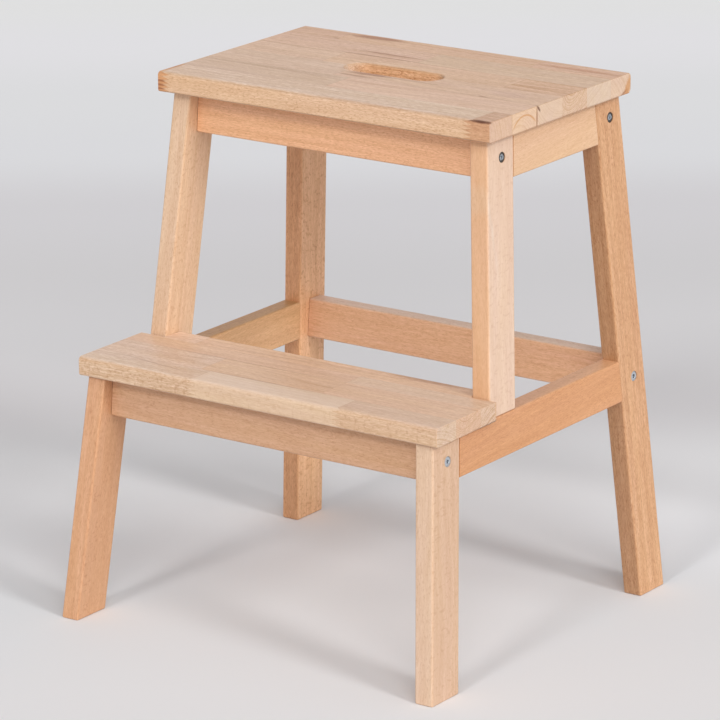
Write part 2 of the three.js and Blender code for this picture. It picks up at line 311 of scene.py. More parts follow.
# %% [markdown]
# # Side rails
# The side rails lie in the side frames: they splay with them, and their ends are sawn to the lean of the
# legs. They could be drawn as outlines with slanting ends, but sawing is the natural way, since the same cut
# also gives the length.
# The exact solids keep a gap at every glued joint. The joints of the side rails hardly show on the real
# stool, so here these rails reach nearer to the legs and keep a smaller arris.

# %% Make the four side rails
SIDE_RAILS = {
    "upper_side_rail": (SEAT_UNDERSIDE - JOINT_GAP, 41.5, post_back, rear_leg_front),
    "lower_side_rail": (STEP_UNDERSIDE - JOINT_GAP, 39, front_leg_back, rear_leg_front),
}
SPARE, TIGHT_GAP = 15, 0.1


def slope(face, low, high):
    """How far a leaning face moves for each millimetre of height."""
    return (face(high) - face(low)) / (high - low)


def make_side_rail(node, side, top, height, start, end):
    """A splayed bar between two leaning faces."""
    foot = top - height
    x_low, x_high = span(side, inside(foot), outside(foot))
    piece = add_block(node + "_beech", (x_low, start(foot) - SPARE, foot), (x_high, end(foot) + SPARE, top))
    lean(piece, top, side * (outside(top) - outside(foot)), 0)
    saw(piece, (0, start(foot) + TIGHT_GAP, foot), (0, -1, slope(start, foot, top)))
    saw(piece, (0, end(foot) - TIGHT_GAP, foot), (0, 1, -slope(end, foot, top)))
    return ease_bar(piece, "Y", TIGHT_ARRIS)


for kind, (top, height, start, end) in SIDE_RAILS.items():
    for side_name, side in SIDES.items():
        node = f"{kind}_{side_name}"
        wood[node] = make_side_rail(node, side, top, height, start, end)

# %% [markdown]
# # Cross rails
# Four upright bars run from one side frame to the other, set back from the faces of the legs. Their length
# could be worked out from the splay, but a saw that leans with the side frames finds it by itself.

# %% Make the four cross rails
RAIL_THICKNESS, RAIL_SETBACK = 18.5, 14
CROSS_RAILS = {
    "upper_front_rail": (SEAT_UNDERSIDE - JOINT_GAP, 39.5, post_front, "front_post"),
    "upper_rear_rail": (SEAT_UNDERSIDE - JOINT_GAP, 39.5, rear_leg_front, "rear_leg"),
    "lower_front_rail": (STEP_UNDERSIDE - JOINT_GAP, 39, front_leg_front, "front_leg"),
    "middle_rear_rail": (STEP_UNDERSIDE - JOINT_GAP, 39, rear_leg_front, "rear_leg"),
}


def make_cross_rail(node, top, height, face):
    """An upright bar from one side frame to the other, set back from a leaning face."""
    foot = top - height
    front = face(top - height / 2) + RAIL_SETBACK
    reach = inside(foot) + SPARE
    piece = add_block(node + "_beech", (-reach, front, foot), (reach, front + RAIL_THICKNESS, top))
    for side in SIDES.values():
        saw(piece, (side * (inside(foot) - JOINT_GAP), 0, foot), (side, 0, math.tan(SPLAY)))
    return ease_bar(piece, "X", RAIL_ARRIS)


for node, (top, height, face, _) in CROSS_RAILS.items():
    wood[node] = make_cross_rail(node, top, height, face)
print("bars made:", len(wood))

# %% [markdown]
# # The seat board
# The seat is a 19 mm panel. Its long edges are rounded with a router, its ends only lose their arris, and a
# slot in the middle takes the hand. The slot could be drawn into the top face, but a router cuts it right
# through, and so does a boolean: the cutter is a cylinder whose two halves are pulled apart.

# %% Make the seat and its hand hole
SEAT_LOW, SEAT_HIGH = (-183, -66.63, SEAT_UNDERSIDE), (183, 168.5, SEAT_TOP)
HOLE_LENGTH, HOLE_WIDTH, HOLE_RIM, HOLE_STEPS, HOLE_SIDES = 104, 31, 2.5, 5, 96
BOARD_RADIUS, FRONT_FOOT_RADIUS, BOARD_STEPS = 4, 2, 6
END_FOOT_RADIUS, END_FOOT_STEPS, BOARD_ARRIS = 1.8, 3, 0.8
ABOVE_FOOT, BEHIND_FRONT, RIM_ROOM = 3, 20, 0.1


def cut_out(piece, cutter):
    """Subtracts a cutter from a piece and throws the cutter away."""
    only(piece)
    change = piece.modifiers.new("cut", "BOOLEAN")
    change.operation, change.solver, change.object = "DIFFERENCE", "EXACT", cutter
    bpy.ops.object.modifier_apply(modifier=change.name)
    bpy.data.objects.remove(cutter)
    return piece


def slot_cutter(centre, length, width, depth):
    """An upright slot with round ends: a rod whose two halves are pulled apart."""
    cutter = add_rod(HOLE_SIDES, width / 2, -depth / 2, depth / 2, math.pi / HOLE_SIDES)
    for side in SIDES.values():
        pick(cutter, "VERT", lambda v: side * v.co.x > 0)
        bpy.ops.transform.translate(value=(side * (length - width) / 2 * MM, 0, 0))
        close(cutter)
    cutter.location = Vector(centre) * MM
    return settle(cutter)


def low_front(low):
    """A test for the lower front edge of a board with a given low corner."""
    def test(edge):
        return all(v.co.y < (low[1] + NEAR) * MM and v.co.z < (low[2] + NEAR) * MM for v in edge.verts)
    return test


def low_end(piece, low):
    """A test for the lower edges of both ends of a board."""
    at_end = ends(piece, "X")
    return lambda edge: at_end(edge) and all(v.co.z < (low[2] + LEVEL_ROOM) * MM for v in edge.verts)


def ease_board(board, low, long_edge):
    """Rounds the long edges that pass a test, the lower front one more crisply, and then the ends."""
    def other_long_edge(edge):
        above = min(v.co.z for v in edge.verts) > (low[2] + ABOVE_FOOT) * MM
        behind = min(v.co.y for v in edge.verts) > (low[1] + BEHIND_FRONT) * MM
        return long_edge(edge) and (above or behind)

    round_over(board, low_front(low), FRONT_FOOT_RADIUS, BOARD_STEPS)
    round_over(board, other_long_edge, BOARD_RADIUS, BOARD_STEPS)
    round_over(board, low_end(board, low), END_FOOT_RADIUS, END_FOOT_STEPS)
    round_over(board, ends(board, "X"), BOARD_ARRIS, ARRIS_STEPS)


seat = add_block("seat_board_beech", SEAT_LOW, SEAT_HIGH)
ease_board(seat, SEAT_LOW, along("X"))
seat_middle = [(a + b) / 2 for a, b in zip(SEAT_LOW, SEAT_HIGH)]
cut_out(seat, slot_cutter(seat_middle, HOLE_LENGTH, HOLE_WIDTH, 3 * (SEAT_TOP - SEAT_UNDERSIDE)))


def on_hole_rim(edge):
    """A level edge of the slot's upper or lower rim."""
    for v in edge.verts:
        x, y, _ = v.co / MM
        beyond = max(abs(x - seat_middle[0]) - (HOLE_LENGTH - HOLE_WIDTH) / 2, 0)
        if abs(math.hypot(beyond, y - seat_middle[1]) - HOLE_WIDTH / 2) > RIM_ROOM:
            return False
    return abs(edge.verts[0].co.z - edge.verts[1].co.z) < LEVEL_ROOM * MM


rim_edges = round_over(seat, on_hole_rim, HOLE_RIM, HOLE_STEPS)
wood["seat_board"] = seat
print("seat faces:", len(seat.data.polygons), "rim edges:", rim_edges)

# %% [markdown]
# # The step board
# The lower board reaches back between the front posts with a tongue. Two corners could be sawn out, but here
# the board starts at the depth of the tread and the tongue is drawn out of its back: two cuts mark where it
# starts and ends, and the face between them is extruded.

# %% Make the step and its tongue
STEP_LOW, STEP_HIGH = (-199, -173.29, STEP_UNDERSIDE), (199, -78.79, STEP_TOP)
TONGUE_LENGTH = 25
TONGUE_SIDE = inside(STEP_TOP) - JOINT_GAP

step = add_block("step_board_beech", STEP_LOW, STEP_HIGH)
for side in SIDES.values():
    pick(step, "FACE", lambda f: True)
    bpy.ops.mesh.bisect(plane_co=(side * TONGUE_SIDE * MM, 0, 0), plane_no=(1, 0, 0))
    close(step)


def tongue_face(face):
    """The back of the board between the two cuts."""
    place = face.calc_center_median()
    return face.normal.y > 0.9 and abs(place.x) < TONGUE_SIDE * MM


pick(step, "FACE", tongue_face)
bpy.ops.mesh.extrude_region_move(TRANSFORM_OT_translate={"value": (0, TONGUE_LENGTH * MM, 0)})
bpy.ops.mesh.select_all(action="SELECT")
bpy.ops.mesh.dissolve_limited(angle_limit=math.radians(1))
close(step)
STEP_BACK = STEP_HIGH[1] + TONGUE_LENGTH


def at_front_or_back(edge):
    """A long edge of the step's front or of its tongue's back."""
    ys = [v.co.y / MM for v in edge.verts]
    return along("X")(edge) and (max(ys) < STEP_LOW[1] + NEAR or min(ys) > STEP_BACK - NEAR)


ease_board(step, STEP_LOW, at_front_or_back)
wood["step_board"] = step
print("step faces:", len(step.data.polygons), "tongue side:", TONGUE_SIDE)

# %% [markdown]
# # Where the screws go
# A countersunk screw through each leg pulls a cross rail tight, square to the leaning outer face, and its
# head lies a touch below the surface. The boards are held from below, by screws whose heads lie deep in
# counterbored holes. Each place is a point and a turn about Y, worked out from the faces above.

# %% List the place, turn and size of every screw
FRAME_SCREW = {"length": 50, "diameter": 5, "head": 9.5}
BOARD_SCREW_DIAMETER, BOARD_SCREW_HEAD, BOARD_SCREW_BITE, BOARD_SCREW_SPACING = 4, 8, 12, 180
HEAD_SINK, OPENING_ROOM, DOWEL_DEPTH = 0.4, 2, 19
screws = {}


def add_screw(node, place, turn, wood_node, opening, **size):
    """Notes a screw: the top of its head, its turn, its wood and how high its opening reaches."""
    screws[node] = {"place": Vector(place), "turn": turn, "wood": wood_node, "opening": opening, **size}


def up_slope(side):
    """The direction up a splayed side frame."""
    return Vector((-side * math.sin(SPLAY), 0, math.cos(SPLAY)))


def add_board_screw(node, rail, height, place, slope_up, turn):
    """Notes a board screw that comes up through a rail and bites into the board at a place."""
    bore = height / 2
    length = BOARD_SCREW_BITE + (height - bore) / slope_up.z
    head = Vector(place) + slope_up * (BOARD_SCREW_BITE - length)
    add_screw(node, head, turn, rail, bore + OPENING_ROOM, length=length, diameter=BOARD_SCREW_DIAMETER,
              head=BOARD_SCREW_HEAD)


for rail, (top, height, face, leg) in CROSS_RAILS.items():
    z = top - height / 2
    y = face(z) + RAIL_SETBACK + RAIL_THICKNESS / 2
    for side_name, side in SIDES.items():
        out = Vector((side * math.cos(SPLAY), 0, math.sin(SPLAY)))
        head = Vector((side * outside(z), y, z)) - out * HEAD_SINK
        add_screw(f"screw_{rail}_{side_name}", head, side * (math.pi / 2 - SPLAY), f"{leg}_{side_name}",
                  HEAD_SINK + OPENING_ROOM, **FRAME_SCREW)
        if rail != "middle_rear_rail":
            place = (side * BOARD_SCREW_SPACING / 2, y, top + JOINT_GAP)
            add_board_screw(f"board_screw_{rail}_{side_name}", rail, height, place, Vector((0, 0, 1)),
                            math.pi)

for side_name, side in SIDES.items():
    y = (front_leg_back(STEP_UNDERSIDE) + DOWEL_DEPTH + post_front(STEP_UNDERSIDE)) / 2
    place = (side * (outside(STEP_UNDERSIDE) + inside(STEP_UNDERSIDE)) / 2, y, STEP_UNDERSIDE)
    rail = f"lower_side_rail_{side_name}"
    add_board_screw(f"board_screw_{rail}", rail, SIDE_RAILS["lower_side_rail"][1], place, up_slope(side),
                    math.pi - side * SPLAY)
print("screws:", len(screws))

# %% [markdown]
# # Holes for the fasteners
# Dowels and screws hold the stool together, and each needs its hole. The exact solids of the fasteners are
# already in place, so copies of them, grown by a hair, are the best drill: wherever a fastener passes
# through a piece of wood, its copy is cut away. The room above a screw's head and inside its socket is cut
# by cylinders of its own, because the driver has to get in there.

# %% Bore every piece for the fasteners that reach it
HOLE_ROOM, HEAD_ROOM, HEAD_DROP, BORE_SIDES = 0.15, 0.3, 1, 48
SOCKET_ROOM_SHARE, SOCKET_FLOOR_SHARE = 0.25, 0.3
BOX_ROOM, SAME_POINT = 0.5 * MM, 1e-6


def reaches(node, other):
    """True where the boxes of two solids overlap or nearly so."""
    (low_a, high_a), (low_b, high_b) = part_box(node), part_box(other)
    return all(low_a[i] < high_b[i] + BOX_ROOM and low_b[i] < high_a[i] + BOX_ROOM for i in range(3))


def drill_for(nodes):
    """One cutter from copies of the fasteners' solids, merged and grown by the room of a hole."""
    copies = [add_object("drill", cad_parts[node].data.copy()) for node in nodes]
    only(copies[0])
    for copy in copies:
        copy.select_set(True)
    bpy.ops.object.join()
    drill = bpy.context.object
    pick(drill, "FACE", lambda f: True)
    bpy.ops.mesh.remove_doubles(threshold=SAME_POINT)
    bpy.ops.mesh.normals_make_consistent(inside=False)
    bpy.ops.transform.shrink_fatten(value=HOLE_ROOM * MM)
    return close(drill)


def aim(piece, screw):
    """Turns a piece made round +Z to a screw's line and moves it to the screw's place."""
    piece.rotation_euler = (0, screw["turn"], 0)
    piece.location = screw["place"] * MM
    return settle(piece)


fasteners = sorted(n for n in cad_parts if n.startswith(("dowel_", "screw_", "board_screw_")))
for node, piece in wood.items():
    kind = "board_screw_" if node.endswith("_board") else ""
    found = [f for f in fasteners if f.startswith(kind) and reaches(f, node)]
    before = len(piece.data.polygons)
    cut_out(piece, drill_for(found))
    for screw in screws.values():
        if screw["wood"] == node:
            head, opening = screw["head"], screw["opening"]
            over_head = (head / 2 + HEAD_ROOM, -HEAD_DROP)
            above_socket = (head * SOCKET_ROOM_SHARE, -head * SOCKET_FLOOR_SHARE)
            for radius, floor in (over_head, above_socket):
                cut_out(piece, aim(add_rod(BORE_SIDES, radius, floor, opening), screw))
    print(node, "holes for", len(found), "fasteners, faces", before, "->", len(piece.data.polygons))

# %% [markdown]
# # Screws
# A countersunk screw is turned from one rod, so it could be spun from a profile. Here its head is a flat
# cylinder whose lower face is drawn out in steps: a cone, a shank and a point. The six-sided socket is cut
# with a six-sided cylinder, and the rim of the head is eased as plating and tumbling leave it.

# %% Make one screw of each size and copy it to its places
HEAD_RIM, POINT_SHARE, POINT_END, SCREW_SIDES = 0.5, 1.4, 0.1, 48
SOCKET_SIDES, SOCKET_SHARE, SOCKET_DEPTH_SHARE = 6, 0.44, 0.26
SOCKET_EASE, SOCKET_STEPS, HEAD_EASE, HEAD_STEPS, RING_SHARE = 0.18, 2, 0.3, 3, 0.6


def flat_ring(low, high):
    """A test for level edges at the top of a head, between two distances from its axis."""
    def test(edge):
        level = all(abs(v.co.z) < LEVEL_ROOM * MM for v in edge.verts)
        return level and all(low * MM < math.hypot(v.co.x, v.co.y) < high * MM for v in edge.verts)
    return test


def make_screw(name, length, diameter, head):
    """A countersunk screw with the top of its head at the origin and its point along -Z."""
    radius, head_radius = diameter / 2, head / 2
    cone, point = head_radius - radius, radius * POINT_SHARE
    screw = add_rod(SCREW_SIDES, head_radius, -HEAD_RIM, 0)
    screw.name = screw.data.name = name
    pick(screw, "FACE", lambda f: f.normal.z < -0.9)
    shank = length - HEAD_RIM - cone - point
    for drop, narrowing in ((cone, radius / head_radius), (shank, 1), (point, POINT_END)):
        bpy.ops.mesh.extrude_region_move(TRANSFORM_OT_translate={"value": (0, 0, -drop * MM)})
        bpy.ops.transform.resize(value=(narrowing, narrowing, 1))
    close(screw)
    depth = head * SOCKET_DEPTH_SHARE
    cut_out(screw, add_rod(SOCKET_SIDES, head_radius * SOCKET_SHARE, -depth, depth))
    round_over(screw, flat_ring(0, head_radius * RING_SHARE), SOCKET_EASE, SOCKET_STEPS)
    round_over(screw, flat_ring(head_radius * RING_SHARE, head), HEAD_EASE, HEAD_STEPS)
    return screw


patterns, steel = {}, {}
for node, screw in screws.items():
    sizes = screw["length"], screw["diameter"], screw["head"]
    if sizes not in patterns:
        patterns[sizes] = make_screw(f"pattern_{len(patterns)}", *sizes)
    steel[node] = aim(add_object(node + "_zinc", patterns[sizes].data.copy()), screw)
for pattern in patterns.values():
    bpy.data.objects.remove(pattern)
print("screws made:", len(steel), "from", len(patterns), "patterns")

# %% [markdown]
# # Smooth shading
# Light should run smoothly over a round-over and stay flat on the faces beside it. Smooth shading by angle
# keeps the true edges sharp, and the Weighted Normal modifier lets the large flat faces decide the shading
# where they meet a bevel, so it is applied to every piece.

# %% Shade every piece
SMOOTH_ANGLE = math.radians(35)


def shade(piece):
    """Smooths a piece's shading up to an angle and weights it by the size of its faces."""
    only(piece)
    bpy.ops.object.shade_smooth_by_angle(angle=SMOOTH_ANGLE)
    weighted = piece.modifiers.new("weighted normals", "WEIGHTED_NORMAL")
    weighted.keep_sharp = True
    bpy.ops.object.modifier_apply(modifier=weighted.name)
    return piece


dressing = [*wood.values(), *steel.values()]
for piece in dressing:
    shade(piece)
print("faces in all:", sum(len(piece.data.polygons) for piece in dressing))

# %% [markdown]
# # What the wood material needs to know
# Wood grain is solid: it runs through a piece, and each face shows its own cut through the same rings and
# rays. So the pattern must read where a point lies in the log, not where it lies on a face. Each bar gets
# that as a vector attribute, `grain`: millimetres from the heart of its log, with Z along the bar, however
# the bar leans. `timber` holds the colour of the stick's faces, partly its own tone and partly painted light
# and shade, so a face that stays in shade is given a darker colour. `bold` says how strong its figure is,
# `end` marks end grain, and `edge` marks rounded edges, which are a touch smoother and carry a painted shade.
# A board's `tone` does for its faces what `timber` does here, and its `figure` holds three shares: how
# strongly the fine grain, the rays and the rings show on a face. The router has left the walls of the hand
# hole rough, so they get bold shares of their own.

# %% Helpers that write values on points and faces
def linear(*colour):
    """An sRGB colour from 0 to 255 as linear numbers."""
    shares = [c / 255 for c in colour]
    return tuple(s / 12.92 if s <= 0.04045 else ((s + 0.055) / 1.055) ** 2.4 for s in shares)


def values_of(items, name):
    """A vector of every vertex or face, as an array with a row for each."""
    values = np.zeros(len(items) * 3, np.float32)
    items.foreach_get(name, values)
    return values.reshape(-1, 3)


def write_attribute(piece, name, values, domain="POINT"):
    """Stores a number or a vector for every point or face of a piece under a name."""
    kind, field = ("FLOAT_VECTOR", "vector") if values.ndim == 2 else ("FLOAT", "value")
    stored = piece.data.attributes.new(name, kind, domain).data
    stored.foreach_set(field, np.ascontiguousarray(values, np.float32).ravel())


END_FROM, END_SPAN, FLAT_FROM, FLAT_SPAN = 0.5, 0.4, 0.99, 0.24


def mark_faces(piece, grain_axis, end_share=1.0):
    """Marks end grain by the way each face looks, and rounded edges by the way each corner looks."""
    faces = values_of(piece.data.polygons, "normal")
    corners = np.abs(values_of(piece.data.vertices, "normal")).max(axis=1)
    end = np.clip((np.abs(faces @ np.array(grain_axis)) - END_FROM) / END_SPAN, 0, 1) * end_share
    write_attribute(piece, "end", end, "FACE")
    write_attribute(piece, "edge", np.clip((FLAT_FROM - corners) / FLAT_SPAN, 0, 1))


def mark_tones(piece, name, tones):
    """Writes a colour for each face, mixed from three by how far it looks along X, Y and Z."""
    weights = values_of(piece.data.polygons, "normal") ** 2
    write_attribute(piece, name, weights @ np.array(tones), "FACE")


# For each axis that a bar may run along, the two axes across it and then the axis itself.
AXES = {"Z": (0, 1, 2), "Y": (0, 2, 1), "X": (1, 2, 0)}
END_SLICE = 3


def mark_bar(piece, axis, heart, start, colours):
    """Writes a bar's grain, end, edge and timber attributes. heart is where the pith lies, in millimetres
    across the bar, and colours are those of faces that look along X, Y and Z, as linear numbers."""
    places = values_of(piece.data.vertices, "co") / MM
    first, second, lengthwise = AXES[axis]
    run = places[:, lengthwise]
    low, high = run < run.min() + END_SLICE, run > run.max() - END_SLICE
    middle_low, middle_high = places[low].mean(axis=0), places[high].mean(axis=0)
    share = ((run - run.min()) / (run.max() - run.min()))[:, None]
    local = places - middle_low - (middle_high - middle_low) * share
    grain = np.stack([local[:, first] - heart[0], local[:, second] - heart[1], run + start], axis=1)
    write_attribute(piece, "grain", grain)
    mark_tones(piece, "timber", colours)
    # Both ends of a rail are hidden in joints, so only legs and posts are marked as end grain.
    mark_faces(piece, np.eye(3)[lengthwise], 0.0 if "rail" in piece.name else 1.0)


print("attribute helpers ready")

# %% [markdown]
# # Sticks and tones
# Each bar was sawn from another part of a log, so each has a heart, a boldness and a timber of its own. One
# colour for all the wood would be shorter, but the stool would look cast in one piece. Faces that look along
# X, Y and Z have a colour each, so the tone of one face can be tuned without the others. These colours hold
# painted light and shade as well as the wood's own tone: a face that stays in shade, such as the front of a
# rear leg, is given a darker colour.

# %% List the sticks and the tones of the boards
# Each stick: the axis it runs along, its heart, how bold its figure is, and the colour of its faces that look
# along X, Y and Z, with painted light and shade in it.
STICKS = {
    "rear_leg_left": ("Z", (12, 60), 1.45, ((234, 186, 143), (219, 164, 120), (220, 175, 135))),
    "rear_leg_right": ("Z", (-46, 22), 1.6, ((212, 164, 123), (188, 143, 105), (214, 168, 128))),
    "front_post_left": ("Z", (34, 46), 0.95, ((227, 192, 158), (224, 190, 159), (228, 192, 158))),
    "front_post_right": ("Z", (9, -74), 0.6, ((226, 196, 172), (225, 179, 140), (228, 192, 158))),
    "front_leg_left": ("Z", (-22, 48), 1.0, ((210, 162, 124), (214, 163, 124), (216, 170, 130))),
    "front_leg_right": ("Z", (30, 66), 0.75, ((214, 179, 150), (222, 190, 162), (222, 188, 158))),
    "upper_side_rail_left": ("Y", (-50, 16), 1.0, ((226, 184, 144), (226, 184, 144), (214, 172, 134))),
    "upper_side_rail_right": ("Y", (-58, -24), 0.65, ((225, 185, 148), (226, 184, 144), (214, 176, 138))),
    "lower_side_rail_left": ("Y", (40, 30), 1.0, ((220, 176, 130), (226, 182, 140), (190, 146, 98))),
    "lower_side_rail_right": ("Y", (66, 12), 0.95, ((211, 154, 109), (215, 159, 111), (213, 163, 123))),
    "upper_front_rail": ("X", (52, 8), 1.2, ((226, 182, 140), (239, 186, 144), (220, 176, 136))),
    "upper_rear_rail": ("X", (-40, 30), 1.0, ((222, 178, 136), (226, 180, 136), (216, 172, 132))),
    "lower_front_rail": ("X", (60, -26), 0.95, ((214, 170, 134), (211, 167, 132), (206, 164, 128))),
    "middle_rear_rail": ("X", (44, -12), 1.0, ((218, 176, 140), (219, 172, 136), (218, 191, 171))),
}
# For each board, what its colours are multiplied by on faces that look along X, Y and Z, partly its own tone
# and partly painted light and shade.
BOARD_TONES_AND_SHADE = {
    "seat_board": ((1.14, 1.26, 1.33), (1.13, 1.01, 0.85), (1.06, 1.05, 1.03)),
    "step_board": ((1.01, 1.00, 1.01), (1.05, 0.97, 0.85), (1.09, 1.10, 1.13)),
}
# For each board, the shares of fine grain, rays and rings on the same three kinds of face.
BOARD_FIGURE = {
    "seat_board": ((0.6, 0.1, 1.6), (1.05, 1.5, 0.7), (1.45, 0.3, 1.6)),
    "step_board": ((1.5, 0.2, 3.4), (1.45, 1.2, 0.9), (1.3, 0.25, 1.5)),
}
print("sticks:", len(STICKS), "boards:", len(BOARD_TONES_AND_SHADE))

# %% Write the attributes of all the wood
HOLE_FIGURE, UPRIGHT_FACE = (2.0, 2.4, 1.0), 0.3
LOG_STEP = 700


def in_hole(face):
    """An upright face of the hand hole."""
    x, y, _ = face.center / MM
    inside_x = abs(x) < HOLE_LENGTH / 2 + RIM_ROOM
    inside_y = abs(y - seat_middle[1]) < HOLE_WIDTH / 2 + RIM_ROOM
    return inside_x and inside_y and abs(face.normal.z) < UPRIGHT_FACE


for number, (node, (axis, heart, boldness, colours)) in enumerate(STICKS.items()):
    mark_bar(wood[node], axis, heart, number * LOG_STEP, [linear(*c) for c in colours])
    write_attribute(wood[node], "bold", np.full(len(wood[node].data.vertices), boldness))
for node, tones in BOARD_TONES_AND_SHADE.items():
    mark_faces(wood[node], (1, 0, 0))
    mark_tones(wood[node], "tone", tones)
    mark_tones(wood[node], "figure", BOARD_FIGURE[node])
hole_walls = [face.index for face in seat.data.polygons if in_hole(face)]
for index in hole_walls:
    seat.data.attributes["figure"].data[index].vector = HOLE_FIGURE
print("bars marked:", len(STICKS), "boards:", len(BOARD_TONES_AND_SHADE), "faces in the hand hole:", len(hole_walls))

# %% [markdown]
# # Painted dark rims and shaded sockets on the screws
# The heads keep a bright middle, while a painted dark reflection lies on the rim and a painted shade in the
# socket. Both could be painted by a texture, but the distance from the screw's own axis and the depth below
# its head say it exactly, so each is written as an attribute. The upper screws are painted darker than the
# lower ones, with some painted shade over the whole head.

# %% Mark the rim and the socket of every screw
# How dark the painted reflection on the rim is, and how much painted shade lies on the whole head and in its
# socket.
UPPER_HEAD_SHADE, LOWER_HEAD_SHADE = (1.0, 0.4, 0.5), (0.3, 0.0, 0.8)
SHADE_DEPTH, SOCKET_REACH = 0.3, 1.05
for node, piece in steel.items():
    screw = screws[node]
    axis = np.array((math.sin(screw["turn"]), 0, math.cos(screw["turn"])))
    places = values_of(piece.data.vertices, "co") / MM - np.array(screw["place"])
    away = np.linalg.norm(np.cross(places, axis), axis=1) / (screw["head"] / 2)
    rim = np.clip((away - SOCKET_SHARE) / (1 - SOCKET_SHARE), 0, 1)
    rim_darkness, head_shade, socket_shade = UPPER_HEAD_SHADE if "upper" in node else LOWER_HEAD_SHADE
    write_attribute(piece, "rim", rim * rim_darkness)
    in_socket = np.clip(-places @ axis / SHADE_DEPTH, 0, 1) * (away < SOCKET_REACH * SOCKET_SHARE)
    write_attribute(piece, "zinc_shade", np.maximum(in_socket * socket_shade, head_shade))
print("screws marked:", len(steel))

# %% [markdown]
# # Small helpers for nodes
# A material is a tree of nodes joined by links. Typing each node and link by hand is slow to read, so a few
# short functions add a node, join its sockets and give back the output that matters. Sizes in them are
# millimetres, so a noise of (1, 1, 40) has spots 1 mm across and 40 mm long.

# %% Node helpers
def join(tree, value, socket):
    """Links a socket to an input, or writes a plain value there."""
    if isinstance(value, bpy.types.NodeSocket):
        tree.links.new(value, socket)
    else:
        socket.default_value = value


def add_node(tree, kind, inputs=(), **settings):
    """A node with its settings made and its inputs joined."""
    node = tree.nodes.new("ShaderNode" + kind)
    for name, value in settings.items():
        setattr(node, name, value)
    for name, value in dict(inputs).items():
        join(tree, value, node.inputs[name])
    return node


def number_node(tree, operation, *values):
    return add_node(tree, "Math", enumerate(values), operation=operation).outputs[0]


def times(tree, *values):
    return number_node(tree, "MULTIPLY", *values)


def less(tree, *values):
    return number_node(tree, "SUBTRACT", *values)


def between(tree, value, low, high):
    """1 where a value lies between two others, and 0 elsewhere."""
    above, below = number_node(tree, "GREATER_THAN", value, low), number_node(tree, "LESS_THAN", value, high)
    return times(tree, above, below)


def vector_node(tree, operation, *values):
    return add_node(tree, "VectorMath", enumerate(values), operation=operation).outputs["Vector"]


def length(tree, vector):
    return add_node(tree, "VectorMath", {0: vector}, operation="LENGTH").outputs["Value"]


def split(tree, vector):
    """The X, Y and Z sockets of a vector."""
    return list(add_node(tree, "SeparateXYZ", {0: vector}).outputs)


def combine(tree, x, y, z=0.0):
    return add_node(tree, "CombineXYZ", {"X": x, "Y": y, "Z": z}).outputs[0]


def noise(tree, place, size, detail=2, roughness=0.5, output="Fac"):
    """Soft noise whose spots are about as large as the given size, in millimetres."""
    scaled = vector_node(tree, "DIVIDE", place, size)
    inputs = {"Vector": scaled, "Scale": 1, "Detail": detail, "Roughness": roughness}
    return add_node(tree, "TexNoise", inputs).outputs[output]


def attribute(tree, name, output="Fac"):
    return add_node(tree, "Attribute", attribute_name=name).outputs[output]


def fade(tree, value, start, end):
    """Goes softly from 0 to 1 while a value goes from start to end."""
    inputs = {"Value": value, "From Min": start, "From Max": end}
    return add_node(tree, "MapRange", inputs, interpolation_type="SMOOTHSTEP").outputs["Result"]


def mix(tree, share, first, second, blend="MIX"):
    """Two colours mixed or blended, as far as the share says."""
    inputs = {0: share, 6: first, 7: second}
    return add_node(tree, "Mix", inputs, data_type="RGBA", blend_type=blend, clamp_factor=True).outputs[2]


def tinted(tree, share, colour, tint):
    """A colour, multiplied by a tint as far as the share says."""
    return mix(tree, share, colour, mix(tree, 1.0, colour, (*tint, 1), "MULTIPLY"))


print("node helpers ready")

# %% [markdown]
# # Ramps, reliefs and groups
# A node group is a small tree with named sockets, made once and used by many materials, as a workshop keeps
# one jig for many boards. Its nodes could be copied into each material, but then a change would have to be
# made in every one of them.

# %% Helpers for ramps, reliefs and groups
def colour_ramp(tree, share, entries, interpolation):
    """A colour ramp. Each entry says where it stands, from 0 to 1, and its colour."""
    ramp = add_node(tree, "ValToRGB", {"Fac": share})
    ramp.color_ramp.interpolation = interpolation
    while len(ramp.color_ramp.elements) < len(entries):
        ramp.color_ramp.elements.new(0.5)
    for element, (position, colour) in zip(ramp.color_ramp.elements, entries):
        element.position, element.color = position, colour
    return ramp.outputs


def relief(tree, shader, height, strength, distance):
    """Gives a shader a relief from a height."""
    bump = add_node(tree, "Bump", {"Strength": strength, "Distance": distance, "Height": height})
    join(tree, bump.outputs[0], shader.inputs["Normal"])


def new_group(name, inputs, outputs):
    """A shader node group with named sockets. Returns it with its input and output sockets."""
    group = bpy.data.node_groups.new(name, "ShaderNodeTree")
    for socket, (kind, value) in inputs.items():
        made = group.interface.new_socket(socket, in_out="INPUT", socket_type="NodeSocket" + kind)
        made.default_value = value
    for socket, kind in outputs.items():
        group.interface.new_socket(socket, in_out="OUTPUT", socket_type="NodeSocket" + kind)
    return group, group.nodes.new("NodeGroupInput").outputs, group.nodes.new("NodeGroupOutput").inputs


def use_group(tree, group, inputs):
    """A group's node in a tree, with its inputs joined. Returns its outputs."""
    node = tree.nodes.new("ShaderNodeGroup")
    node.node_tree = group
    for name, value in inputs.items():
        join(tree, value, node.inputs[name])
    return node.outputs


print("group helpers ready")

# %% [markdown]
# # Beech, as a tree grows it
# Beech has faint rings, and rays that run from the heart of the log outwards like spokes. A ray is a thin
# upright ribbon: cut across its edge it shows as a short dark spindle, cut along its side as a broad shining
# fleck, and on end grain as a fine line. So the group works in the log's own round coordinates: distance
# from the heart, distance round it, and height. One noise in those coordinates then gives the right fleck
# on every face.

